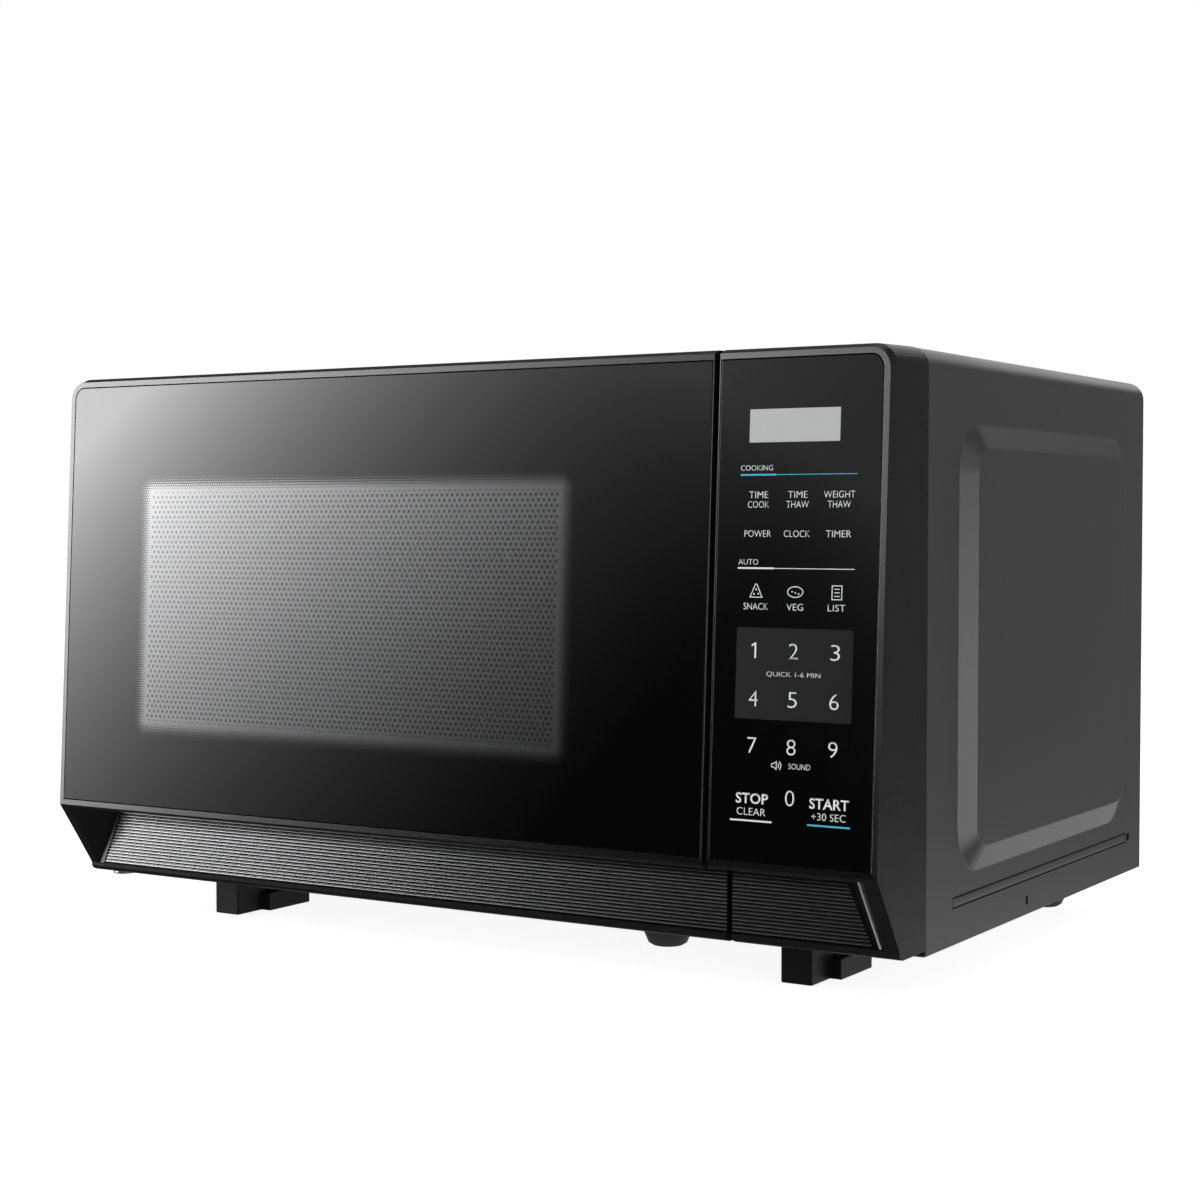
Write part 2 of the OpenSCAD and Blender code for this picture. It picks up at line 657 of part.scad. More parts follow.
module latch_spring() {
    rings = spring_turns * spring_steps;
    bottom = 222 + wire_r;
    rise = (256 - 222 - 2 * wire_r) / rings;
    points = [for (i = [0:rings]) for (j = [0:spring_sides - 1])
        let (a = 360 * i / spring_steps, b = 360 * j / spring_sides)
        [(spring_r + wire_r * cos(b)) * cos(a), (spring_r + wire_r * cos(b)) * sin(a),
         rise * i + wire_r * sin(b)]];
    sides = [for (i = [0:rings - 1]) for (j = [0:spring_sides - 1])
        let (k = (j + 1) % spring_sides)
        [i * spring_sides + j, (i + 1) * spring_sides + j,
         (i + 1) * spring_sides + k, i * spring_sides + k]];
    first = [for (j = [0:spring_sides - 1]) j];
    last = [for (j = [spring_sides - 1:-1:0]) rings * spring_sides + j];
    color("#b0b2b4") translate([hook_x, back_y - 13, bottom])
        polyhedron(points, concat([first], [last], sides));
}

base_plate();
pressed_feet();
outer_cover();
rear_panel();
front_plate();
cavity_floor();
cavity_ceiling();
cavity_left_wall();
cavity_right_wall();
cavity_rear_wall();
front_left_foot();
front_right_foot();
panel_frame();
panel_glass();
touch_sheet();
control_board();
display_module();
latch_bracket();
microswitches();
upper_hinge();
lower_hinge();
transformer_core();
transformer_windings();
magnetron_case();
magnetron_fins();
magnetron_antenna();
waveguide();
waveguide_cover();
capacitor();
capacitor_clamp();
diode();
filter_board();
fan_motor();
fan_shroud();
air_duct();
lamp();
lamp_socket();
thermal_cutouts();
turntable_motor();
cable_gland();
cover_screws();
door_frame();
door_glass();
door_screen();
door_pan();
door_inner_cover();
door_film();
latch_hooks();
latch_spring();
turntable_coupler();
glass_tray();
roller_ring();
roller_a();
roller_b();
roller_c();
fan_blade();
fan_shaft();
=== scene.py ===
import math

import bmesh
import bpy
from mathutils import Matrix, Vector


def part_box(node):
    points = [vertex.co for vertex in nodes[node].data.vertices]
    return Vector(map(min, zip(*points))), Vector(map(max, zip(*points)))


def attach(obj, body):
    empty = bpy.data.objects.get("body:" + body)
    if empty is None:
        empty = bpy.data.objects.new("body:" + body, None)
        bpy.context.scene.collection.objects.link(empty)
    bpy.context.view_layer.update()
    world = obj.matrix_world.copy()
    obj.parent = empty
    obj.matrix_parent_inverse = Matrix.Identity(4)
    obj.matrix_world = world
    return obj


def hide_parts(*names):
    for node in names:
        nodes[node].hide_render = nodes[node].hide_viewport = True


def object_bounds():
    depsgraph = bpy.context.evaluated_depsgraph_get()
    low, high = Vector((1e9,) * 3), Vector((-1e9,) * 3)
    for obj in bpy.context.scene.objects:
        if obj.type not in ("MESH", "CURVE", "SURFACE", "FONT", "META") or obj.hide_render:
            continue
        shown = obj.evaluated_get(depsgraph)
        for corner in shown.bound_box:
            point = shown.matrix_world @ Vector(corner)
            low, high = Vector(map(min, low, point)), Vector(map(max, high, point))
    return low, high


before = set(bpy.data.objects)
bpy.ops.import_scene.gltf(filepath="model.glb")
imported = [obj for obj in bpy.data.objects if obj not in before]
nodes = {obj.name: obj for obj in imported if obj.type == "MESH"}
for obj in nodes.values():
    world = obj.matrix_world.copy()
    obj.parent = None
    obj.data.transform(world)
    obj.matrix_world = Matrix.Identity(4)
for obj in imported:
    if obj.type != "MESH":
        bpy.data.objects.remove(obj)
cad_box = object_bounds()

MM = 0.001


# ---- Studio ------------------------------------------------------------------------------
# A white table top in a tent of dark cloth that opens to the rear. Six glowing cards that only
# gloss sees give the front and the right side their reflections, and soft boxes light the rest.
# The camera looks at the front and the right side from a little above the oven's middle.

scene = bpy.context.scene
scene.view_settings.view_transform = "Standard"

lens = bpy.data.cameras.new("camera")
lens.lens = 65.5
lens.sensor_width = 36.0
lens.clip_end = 30.0
camera = bpy.data.objects.new("camera", lens)
camera.location = (0.5717, -0.9343, 0.1961)
camera.rotation_euler = (math.radians(87.95), 0.0, math.radians(31.74))
scene.collection.objects.link(camera)
scene.camera = camera


def soft_box(name, place, target, size, power):
    lamp = bpy.data.lights.new(name, "AREA")
    lamp.shape = "RECTANGLE"
    lamp.size, lamp.size_y = size
    lamp.energy = power
    holder = bpy.data.objects.new(name, lamp)
    holder.location = place
    holder.rotation_euler = (Vector(target) - Vector(place)).to_track_quat("-Z", "Y").to_euler()
    scene.collection.objects.link(holder)
    return holder


left_box = soft_box("left_box", (-1.9, -1.35, 0.75), (-0.1, 0.0, 0.12), (0.9, 0.9), 12.0)
left_box.visible_glossy = False
soft_box("right_box", (2.25, 1.05, 0.45), (0.2, 0.0, 0.12), (1.0, 1.3), 3.5)
soft_box("top_box", (0.1, 0.3, 1.9), (0.0, 0.0, 0.1), (1.8, 1.8), 10.0)

world = bpy.data.worlds.new("studio")
world.use_nodes = True
scene.world = world
sky = world.node_tree
path = sky.nodes.new("ShaderNodeLightPath")
toward = sky.nodes.new("ShaderNodeTexCoord")
axes = sky.nodes.new("ShaderNodeSeparateXYZ")
sky.links.new(toward.outputs["Generated"], axes.inputs["Vector"])
cloth = sky.nodes.new("ShaderNodeMapRange")
cloth.inputs["From Min"].default_value = -0.1
cloth.inputs["From Max"].default_value = 0.8
cloth.inputs["To Min"].default_value = 0.012
cloth.inputs["To Max"].default_value = 0.2
sky.links.new(axes.outputs["Y"], cloth.inputs["Value"])
tent = sky.nodes.new("ShaderNodeMix")
tent.data_type = "FLOAT"
tent.inputs["B"].default_value = 0.3
sky.links.new(cloth.outputs["Result"], tent.inputs["A"])
wall = sky.nodes.new("ShaderNodeMix")
wall.data_type = "FLOAT"
wall.inputs["B"].default_value = 1.0
sky.links.new(path.outputs["Is Diffuse Ray"], tent.inputs["Factor"])
sky.links.new(path.outputs["Is Camera Ray"], wall.inputs["Factor"])
sky.links.new(tent.outputs["Result"], wall.inputs["A"])
sky.links.new(wall.outputs["Result"], sky.nodes["Background"].inputs["Strength"])
sky.nodes["Background"].inputs["Color"].default_value = (1.0, 1.0, 1.0, 1.0)


def surface(name, colour, rough, metal=0.0, grain=900.0, bump=0.05, tone=0.12, spread=0.08,
            depth=0.00005, stretch=(1.0, 1.0, 1.0)):
    """A finish with fine grain: its colour, roughness and height all vary a little."""
    dull_end, bright_end = 0.3, 0.7
    made = bpy.data.materials.new(name)
    made.use_nodes = True
    tree = made.node_tree
    shader = tree.nodes["Principled BSDF"]
    place = tree.nodes.new("ShaderNodeTexCoord")
    turn = tree.nodes.new("ShaderNodeMapping")
    turn.inputs["Scale"].default_value = stretch
    tree.links.new(place.outputs["Object"], turn.inputs["Vector"])
    fine = tree.nodes.new("ShaderNodeTexNoise")
    fine.inputs["Scale"].default_value = grain
    fine.inputs["Detail"].default_value = 3.0
    broad = tree.nodes.new("ShaderNodeTexNoise")
    broad.inputs["Scale"].default_value = grain / 60.0
    broad.inputs["Detail"].default_value = 4.0
    for cloud in (fine, broad):
        tree.links.new(turn.outputs["Vector"], cloud.inputs["Vector"])
    both = tree.nodes.new("ShaderNodeMath")
    both.operation = "MULTIPLY_ADD"
    both.inputs[1].default_value = 0.5
    tree.links.new(fine.outputs["Fac"], both.inputs[0])
    half = tree.nodes.new("ShaderNodeMath")
    half.operation = "MULTIPLY"
    half.inputs[1].default_value = 0.5
    tree.links.new(broad.outputs["Fac"], half.inputs[0])
    tree.links.new(half.outputs["Value"], both.inputs[2])
    tint = tree.nodes.new("ShaderNodeValToRGB")
    tint.color_ramp.elements[0].position = dull_end
    tint.color_ramp.elements[1].position = bright_end
    tint.color_ramp.elements[0].color = [c * (1 - tone) for c in colour] + [1.0]
    tint.color_ramp.elements[1].color = [min(1.0, c * (1 + tone)) for c in colour] + [1.0]
    tree.links.new(both.outputs["Value"], tint.inputs["Fac"])
    tree.links.new(tint.outputs["Color"], shader.inputs["Base Color"])
    sheen = tree.nodes.new("ShaderNodeMapRange")
    sheen.inputs["From Min"].default_value = dull_end
    sheen.inputs["From Max"].default_value = bright_end
    sheen.inputs["To Min"].default_value = max(0.0, rough - spread)
    sheen.inputs["To Max"].default_value = min(1.0, rough + spread)
    tree.links.new(both.outputs["Value"], sheen.inputs["Value"])
    tree.links.new(sheen.outputs["Result"], shader.inputs["Roughness"])
    relief = tree.nodes.new("ShaderNodeBump")
    relief.inputs["Strength"].default_value = bump
    relief.inputs["Distance"].default_value = depth
    tree.links.new(fine.outputs["Fac"], relief.inputs["Height"])
    tree.links.new(relief.outputs["Normal"], shader.inputs["Normal"])
    shader.inputs["Metallic"].default_value = metal
    return made


def tune(finish, **levels):
    """Sets plain levels on a finish's shader; a socket's spaces are written as _ here."""
    sockets = finish.node_tree.nodes["Principled BSDF"].inputs
    for name, level in levels.items():
        sockets[name.replace("_", " ")].default_value = level


def new_object(name, bm, *materials):
    """A finished bmesh becomes an object that sits at the origin."""
    mesh = bpy.data.meshes.new(name)
    bm.to_mesh(mesh)
    bm.free()
    made = bpy.data.objects.new(name, mesh)
    for finish in materials:
        mesh.materials.append(finish)
    scene.collection.objects.link(made)
    return made


floor_mesh = bmesh.new()
bmesh.ops.create_grid(floor_mesh, x_segments=1, y_segments=1, size=6.0)
floor_paint = surface("table_top", (0.8, 0.8, 0.8), 0.7, grain=30.0, bump=0.02, tone=0.01)
tune(floor_paint, Emission_Color=(1.0, 1.0, 1.0, 1.0), Emission_Strength=0.9)
floor = new_object("table_top", floor_mesh, floor_paint)
floor.visible_glossy = False


def mirror_card(name, middle, across, size, level, slopes=(0.0, 0.0), most=16.0, loss=0.0):
    """A card that only gloss sees; its light grows by the slopes along across and upwards."""
    middle, across = Vector(middle), Vector(across).normalized()
    bm = bmesh.new()
    bmesh.ops.create_grid(bm, x_segments=1, y_segments=1, size=0.5)
    turn = Matrix((across, (0.0, 0.0, 1.0), across.cross((0.0, 0.0, 1.0)))).transposed()
    bmesh.ops.transform(bm, verts=bm.verts, matrix=Matrix.Diagonal((*size, 1.0, 1.0)))
    bmesh.ops.transform(bm, verts=bm.verts, matrix=Matrix.Translation(middle) @ turn.to_4x4())
    glow = bpy.data.materials.new(name)
    glow.use_nodes = True
    tree = glow.node_tree
    tree.nodes.clear()
    place = tree.nodes.new("ShaderNodeTexCoord")
    climb = tree.nodes.new("ShaderNodeVectorMath")
    climb.operation = "DOT_PRODUCT"
    climb.inputs[1].default_value = across * slopes[0] + Vector((0.0, 0.0, slopes[1]))
    base = tree.nodes.new("ShaderNodeMath")
    base.inputs[1].default_value = math.log(level) - middle.dot(climb.inputs[1].default_value)
    power = tree.nodes.new("ShaderNodeMath")
    power.operation = "EXPONENT"
    dimmed = tree.nodes.new("ShaderNodeMath")
    dimmed.operation = "SUBTRACT"
    dimmed.inputs[1].default_value = loss
    limit = tree.nodes.new("ShaderNodeClamp")
    limit.inputs["Max"].default_value = most
    light = tree.nodes.new("ShaderNodeEmission")
    clear = tree.nodes.new("ShaderNodeBsdfTransparent")
    veil = tree.nodes.new("ShaderNodeAddShader")
    end = tree.nodes.new("ShaderNodeOutputMaterial")
    tree.links.new(place.outputs["Object"], climb.inputs[0])
    tree.links.new(climb.outputs["Value"], base.inputs[0])
    tree.links.new(base.outputs["Value"], power.inputs[0])
    tree.links.new(power.outputs["Value"], dimmed.inputs[0])
    tree.links.new(dimmed.outputs["Value"], limit.inputs["Value"])
    tree.links.new(limit.outputs["Result"], light.inputs["Strength"])
    tree.links.new(light.outputs["Emission"], veil.inputs[0])
    tree.links.new(clear.outputs["BSDF"], veil.inputs[1])
    tree.links.new(veil.outputs["Shader"], end.inputs["Surface"])
    card = new_object(name, bm, glow)
    card.visible_camera = card.visible_diffuse = card.visible_shadow = False


mirror_card("fading_card", (-1.36, -1.89, 0.17), (-0.796, 0.605, 0.0), (2.6, 1.3), 0.67,
            (4.38, 3.49), 12.0, 0.1)
mirror_card("upper_front_card", (-0.908, -2.175, 0.27), (-0.796, 0.605, 0.0), (1.5, 1.1), 0.047,
            (-5.0, 8.0), 0.5)
mirror_card("low_rear_card", (1.1, 2.7, -1.0), (0.93, -0.35, 0.0), (1.8, 1.0), 0.6)
mirror_card("high_rear_card", (-0.1, 3.0, 1.35), (1.0, 0.0, 0.0), (1.6, 0.7), 1.2)
mirror_card("right_card", (2.3, 1.1, -0.35), (-0.43, 0.9, 0.0), (1.0, 1.1), 3.2)
mirror_card("edge_card", (2.1, -1.0, 0.2), (0.45, 0.89, 0.0), (0.7, 1.4), 2.5)


# ---- Steel cabinet wrap -------------------------------------------------------------------
# The wrap is one sheet of 1 mm steel, bent over the top and painted satin dark grey. A large
# panel is pressed outwards in each side, and a long bead stiffens each lower edge. It slides
# over the painted base and the bare zinc-coated rear panel, and screws hold it at the rear.

def ride(made, body, slot, *stands_for):
    """Attaches a piece to its body and hides the CAD nodes it stands for; the slot is not used."""
    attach(made, body)
    if stands_for:
        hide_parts(*stands_for)
    return made


def shade(bm, smooth=True):
    for face in bm.faces:
        face.smooth = smooth


def soft_edges(made, width, segments=2, angle=30.0):
    """A live bevel that rounds the sharp edges and keeps the flats flat."""
    rounding = made.modifiers.new("soft_edges", "BEVEL")
    rounding.width = width
    rounding.segments = segments
    rounding.limit_method = "ANGLE"
    rounding.angle_limit = math.radians(angle)
    rounding.harden_normals = True
    return rounding


def even_shading(made):
    """Keeps the large flats evenly shaded up to their rounded edges."""
    weigh = made.modifiers.new("even_shading", "WEIGHTED_NORMAL")
    weigh.keep_sharp = True
    return weigh


paint = surface("cabinet_paint", (0.034, 0.034, 0.035), 0.32, grain=1500.0, bump=0.1, tone=0.05,
                spread=0.03)
low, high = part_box("outer_cover")
relief = 4.5 * MM
side_x = high.x - relief
roof_bend = 9 * MM
tiny = 0.01 * MM
cover_y0, cover_y1 = low.y, high.y
cover_z0, cover_z1 = low.z, high.z


def rounded_loop(bm, corners, radius, segments):
    """A closed outline in the side plane with rounded corners, as a loop of edges."""
    face = bm.faces.new([bm.verts.new(c) for c in corners])
    made = bmesh.ops.bevel(bm, geom=face.verts[:], offset=radius, offset_type="OFFSET",
                           segments=segments, profile=0.5, affect="VERTICES", material=-1)
    return made["verts"][0].link_faces[0]


def pressed(bm, face, steps):
    """Presses a face out or in by steps of inset and height in millimetres."""
    for inset, rise in steps:
        bmesh.ops.inset_region(bm, faces=[face], thickness=inset * MM, depth=rise * MM,
                               use_even_offset=True, use_boundary=True)


def cover_side(x, outward):
    """One flat side with its pressed panel and bead; outward is +1 at the right side."""
    bm = bmesh.new()
    bend_z, crisp = cover_z1 - roof_bend, 0.8
    rim = [bm.verts.new((x, y, z)) for y, z in ((cover_y0, cover_z0), (cover_y1, cover_z0),
                                                (cover_y1, bend_z), (cover_y0, bend_z))]
    for i in range(4):
        bm.edges.new((rim[i], rim[(i + 1) % 4]))
    y_a, y_b, z_a, z_b = cover_y0 + 32 * MM, cover_y1 - 29 * MM, 47 * MM, 238 * MM
    panel = rounded_loop(bm, [(x, y_a, z_a), (x, y_b, z_a), (x, y_b, z_b), (x, y_a, z_b)],
                         22 * MM, 12)
    bead = bm.faces.new([bm.verts.new((x, y * MM, z * MM)) for y, z in
                         ((-86, 34.3), (139, 34.3), (139, 39.3), (-86, 39.3))])
    hole = rounded_loop(bm, [(x, 140.4 * MM, 34.8 * MM), (x, 144.4 * MM, 34.8 * MM),
                             (x, 144.4 * MM, 38.8 * MM), (x, 140.4 * MM, 38.8 * MM)], 1.9 * MM, 4)
    tab = rounded_loop(bm, [(x, -0.9 * MM, 23.4 * MM), (x, 1.9 * MM, 23.4 * MM),
                            (x, 1.9 * MM, 27.6 * MM), (x, -0.9 * MM, 27.6 * MM)], 1.3 * MM, 4)
    bmesh.ops.triangle_fill(bm, edges=[e for e in bm.edges if len(e.link_faces) < 2],
                            use_beauty=True, use_dissolve=False)
    bmesh.ops.delete(bm, geom=[hole, tab], context="FACES")
    bmesh.ops.recalc_face_normals(bm, faces=bm.faces)
    if sum(f.normal.x * f.calc_area() for f in bm.faces) * outward < 0:
        bmesh.ops.reverse_faces(bm, faces=bm.faces)
    pressed(bm, panel, [(0.3, 0.0), (0.7, 0.12), (9.6, 4.2), (0.7, 0.12), (0.3, 0.0)])
    pressed(bm, bead, [(0.12, -0.95), (0.5, 0.0), (0.12, 0.8), (0.3, 0.15)])
    bm.normal_update()
    for edge in bm.edges:
        if len(edge.link_faces) == 2:
            edge.smooth = edge.calc_face_angle() < crisp
    return bm


def cover_roof():
    """The top sheet with the two rounded bends down to the sides."""
    bm = bmesh.new()
    rail = []
    for centre, first in ((side_x - roof_bend, 0.0), (-side_x + roof_bend, 90.0)):
        for i in range(11):
            a = math.radians(first + 9 * i)
            rail.append(bm.verts.new((centre + roof_bend * math.cos(a), cover_y0,
                                      cover_z1 - roof_bend + roof_bend * math.sin(a))))
    edges = [bm.edges.new((a, b)) for a, b in zip(rail, rail[1:])]
    grown = bmesh.ops.extrude_edge_only(bm, edges=edges)["geom"]
    bmesh.ops.translate(bm, verts=[v for v in grown if isinstance(v, bmesh.types.BMVert)],
                        vec=(0.0, cover_y1 - cover_y0, 0.0))
    bmesh.ops.recalc_face_normals(bm, faces=bm.faces)
    if sum(f.normal.z * f.calc_area() for f in bm.faces) < 0:
        bmesh.ops.reverse_faces(bm, faces=bm.faces)
    return bm


def joined(parts):
    """Several bmeshes as one, with the vertices that meet merged."""
    whole = bmesh.new()
    for part in parts:
        held = bpy.data.meshes.new("held")
        part.to_mesh(held)
        part.free()
        whole.from_mesh(held)
        bpy.data.meshes.remove(held)
    bmesh.ops.remove_doubles(whole, verts=whole.verts, dist=tiny)
    return whole


wrap = joined([cover_side(side_x, 1), cover_side(-side_x, -1), cover_roof()])
shade(wrap)
cover = new_object("cabinet_wrap", wrap, paint)
sheet = cover.modifiers.new("sheet", "SOLIDIFY")
sheet.thickness = 1.0 * MM
sheet.offset = -1.0
soft_edges(cover, 0.25 * MM, 2, 87.0).harden_normals = False
even_shading(cover)
ride(cover, "chassis", "cabinet_paint", "outer_cover")


# ---- Door and control panel mouldings -----------------------------------------------------
# Each is one black ABS moulding with a satin edge round its glass. The face leans back by
# 3 degrees. Under it the chin slants back over a finger recess with a ribbed wall.

front_y = cad_box[0].y
door_low, door_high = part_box("door_frame")
panel_low, panel_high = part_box("panel_frame")
face_z0, face_z1, face_lean = 57 * MM, 264.6 * MM, 11 * MM
chin_z = door_low.z
border = 2.5 * MM
face_slope = math.atan2(face_lean, face_z1 - face_z0)
face_normal = Vector((0.0, -math.cos(face_slope), math.sin(face_slope)))
face_up = Vector((0.0, math.sin(face_slope), math.cos(face_slope)))

moulded = surface("front_plastic", (0.008, 0.008, 0.0085), 0.3, grain=2200.0, bump=0.06, tone=0.1)
tune(moulded, Specular_IOR_Level=0.16)
satin = {"metal": 1.0, "grain": 1800.0, "bump": 0.0, "tone": 0.03}
satin_edge = surface("satin_edge", (0.1, 0.1, 0.102), 0.34, spread=0.02, **satin)
# The panel's edge is the same satin band as the door's, in a lighter copy: painted highlight.
lit_panel_edge = surface("lit_panel_edge", (0.26, 0.26, 0.265), 0.17, spread=0.02, **satin)
lower_edge = surface("lower_edge", (0.12, 0.12, 0.122), 0.17, spread=0.02, **satin)
# The ribs are moulded in the same black plastic; their grey satin is a painted reflection, lighter
# than the plastic.
lit_rib_satin = surface("lit_rib_satin", (0.2, 0.2, 0.202), 0.18, spread=0.03, **satin)


def splay(y, z):
    """How far the recess's end wall stands from the outer side, at a depth and a height."""
    return (-16.74 + 0.5556 * y + 0.375 * z) * MM


def round_off(bm, centre, radius):
    """Planes the hinge-side corner down to a circle about the hinge, for room to swing."""
    for step in range(9):
        turn = math.radians(92 + 10.5 * step)
        out = Vector((math.cos(turn), math.sin(turn), 0.0))
        cut = bmesh.ops.bisect_plane(bm, geom=bm.verts[:] + bm.edges[:] + bm.faces[:],
                                     plane_co=centre + out * radius, plane_no=out,
                                     dist=1e-7, clear_outer=True)["geom_cut"]
        rim = [e for e in cut if isinstance(e, bmesh.types.BMEdge) and len(e.link_faces) == 1]
        if rim:
            bmesh.ops.holes_fill(bm, edges=rim)


def hollow(bm, back, corners, front_y_at):
    """Opens the back face over a rectangle and sinks a pocket to the given depth."""
    x_a, x_b, z_a, z_b = corners
    face = max((f for f in bm.faces if f.normal.y > 0.999), key=lambda f: f.calc_area())
    outer = list(face.edges)
    mouth = [bm.verts.new((x, back, z)) for x, z in ((x_a, z_a), (x_b, z_a), (x_b, z_b),
                                                     (x_a, z_b))]
    lips = [bm.edges.new((mouth[i], mouth[(i + 1) % 4])) for i in range(4)]
    bmesh.ops.delete(bm, geom=[face], context="FACES_ONLY")
    bmesh.ops.triangle_fill(bm, edges=outer + lips, use_beauty=True, use_dissolve=False)
    grown = bmesh.ops.extrude_edge_only(bm, edges=lips)["geom"]
    floor_edges = [e for e in grown if isinstance(e, bmesh.types.BMEdge)
                   and all(v not in mouth for v in e.verts)]
    for v in grown:
        if isinstance(v, bmesh.types.BMVert):
            v.co.y = front_y_at(v.co.z)
    return floor_edges


def moulding(width, outer_x, inward, cheek, back, hinge=None):
    """A front moulding; inward is +1 when it runs to +X from its outer side."""
    bm = bmesh.new()
    deep = (back - front_y) / MM
    top, tail = 264.6, 267.0
    solid = [(0.0, 57.0), (11.0, top), (15.0, 266.2), (deep - 0.8, tail), (deep, tail - 0.6),
             (deep, chin_z / MM), (25.0, chin_z / MM), (22.6, 22.3), (21.5, 23.8), (21.5, 25.3)]
    recess = [(22.7, 25.3), (22.7, 52.3), (2.8, 55.2), (0.9, 55.9)]
    slant = [(21.3, 25.8), (12.0, 39.6), (2.0, 54.1), (0.9, 55.7)]
    cap = [(0.0, y, z) for y, z in solid] + [(0.0, y, z) for y, z in slant]
    lip = [(16.0, y, z) for y, z in solid] + [(splay(y, z) / MM + cheek, y, z) for y, z in slant]
    for i in (0, len(solid) - 1):
        lip[i] = (splay(*solid[i]) / MM + cheek, *solid[i])
    wall = lip[:len(solid)] + [(splay(y, z) / MM + cheek, y, z) for y, z in recess]
    end = [(width / MM, y, z) for y, z in solid + recess]
    rings = []
    for ring in (cap, lip, wall, end):
        rings.append([bm.verts.new((outer_x + inward * u * MM, front_y + y * MM, z * MM))
                      for u, y, z in ring])
    count = len(rings[0])
    for a, b in zip(rings, rings[1:]):
        for i in range(count):
            j = (i + 1) % count
            bm.faces.new((a[i], a[j], b[j], b[i]))
    bm.faces.new(rings[0])
    bm.faces.new(rings[-1])
    bmesh.ops.remove_doubles(bm, verts=bm.verts, dist=0.005 * MM)
    bmesh.ops.dissolve_degenerate(bm, dist=0.005 * MM, edges=bm.edges)
    bmesh.ops.dissolve_limit(bm, angle_limit=math.radians(0.3), verts=bm.verts, edges=bm.edges)
    bmesh.ops.recalc_face_normals(bm, faces=bm.faces)
    crown = [e for e in bm.edges
             if all(abs(v.co.x - outer_x) < tiny and v.co.z > 264 * MM for v in e.verts)
             and abs(e.verts[0].co.y - e.verts[1].co.y) > 0.5 * MM]
    bmesh.ops.bevel(bm, geom=crown, offset=8 * MM, offset_type="OFFSET", segments=8,
                    profile=0.5, affect="EDGES", material=-1)
    if hinge:
        round_off(bm, hinge, (hinge.x - outer_x + 3 * MM) - 0.1 * MM)
    face = max((f for f in bm.faces if f.normal.dot(face_normal) > 0.999),
               key=lambda f: f.calc_area())
    ring = bmesh.ops.inset_region(bm, faces=[face], thickness=border, depth=0.0,
                                  use_even_offset=True, use_boundary=True)["faces"]
    for strip in ring:
        strip.material_index = 2 if strip.calc_center_median().z < 62 * MM else 1
    split_x = outer_x + inward * (width - border)
    for v in face.verts:
        if abs(v.co.x - split_x) < tiny:
            v.co.x += inward * (border - 0.45 * MM)
    return bm, face


def glass_plate(name, face, thickness, gap, finish):
    """A plate that fills the inset face with a fine dark gap all round, its front flush."""
    bm = bmesh.new()
    plate = bm.faces.new([bm.verts.new(v.co) for v in face.verts])
    bm.normal_update()
    bmesh.ops.inset_region(bm, faces=[plate], thickness=gap, depth=0.0, use_even_offset=True,
                           use_boundary=True)
    bmesh.ops.delete(bm, geom=[f for f in bm.faces if f is not plate], context="FACES")
    grown = bmesh.ops.extrude_face_region(bm, geom=[plate])["geom"]
    bmesh.ops.translate(bm, verts=[v for v in grown if isinstance(v, bmesh.types.BMVert)],
                        vec=-face_normal * thickness)
    bmesh.ops.recalc_face_normals(bm, faces=bm.faces)
    made = new_object(name, bm, finish)
    soft_edges(made, 0.3 * MM, 2, 40.0)
    return made


def sink(bm, face, depth):
    """Sinks the inset face to make the seat of the glass."""
    grown = bmesh.ops.extrude_face_region(bm, geom=[face])["geom"]
    bmesh.ops.translate(bm, verts=[v for v in grown if isinstance(v, bmesh.types.BMVert)],
                        vec=-face_normal * depth)
    bmesh.ops.delete(bm, geom=[face], context="FACES")


def rib_strip(name, start, lean, margin, width, outer_x, inward, finish):
    """The recess's wall: flat-topped ribs that lean with its end, and a plain strip there."""
    bm = bmesh.new()
    ribs, steps, z_low, z_high = 17, 8, 25.5, 52.2
    groove_y, rise, roundness = 22.6, 0.5, 0.4
    pitch = (z_high - z_low) / ribs
    line = []
    for k in range(ribs * steps + 1):
        z = z_low + pitch * k / steps
        y = groove_y - rise * abs(math.sin(math.pi * k / steps)) ** roundness
        inset = start + lean * (z - z_low) / (z_high - z_low)
        line.append(bm.verts.new((outer_x + inward * inset * MM, front_y + y * MM, z * MM)))
    edges = [bm.edges.new((a, b)) for a, b in zip(line, line[1:])]
    grown = bmesh.ops.extrude_edge_only(bm, edges=edges)["geom"]
    for v in grown:
        if isinstance(v, bmesh.types.BMVert):
            v.co.x = outer_x + inward * width
    bm.faces.new([bm.verts.new((outer_x + inward * inset * MM, front_y + 22.3 * MM, z))
                  for inset, z in ((start - margin, z_low * MM), (start - 0.7, z_low * MM),
                                   (start + lean - 0.7, z_high * MM),
                                   (start + lean - margin, z_high * MM))])
    bmesh.ops.recalc_face_normals(bm, faces=bm.faces)
    if sum(f.normal.y * f.calc_area() for f in bm.faces) > 0:
        bmesh.ops.reverse_faces(bm, faces=bm.faces)
    shade(bm)
    for edge in bm.edges:
        edge.smooth = not edge.is_boundary
    made = new_object(name, bm, finish)
    body = made.modifiers.new("body", "SOLIDIFY")
    body.thickness = 0.4 * MM
    body.offset = -1.0
    return made


def face_y(z):
    """Where the leaning front stands at a height."""
    return front_y + face_lean * (z - face_z0) / (face_z1 - face_z0)


black_glass = surface("black_glass", (0.0015, 0.0015, 0.0018), 0.04, grain=60.0, bump=0.0,
                      tone=0.2, spread=0.01)
glass_t = 3.2 * MM

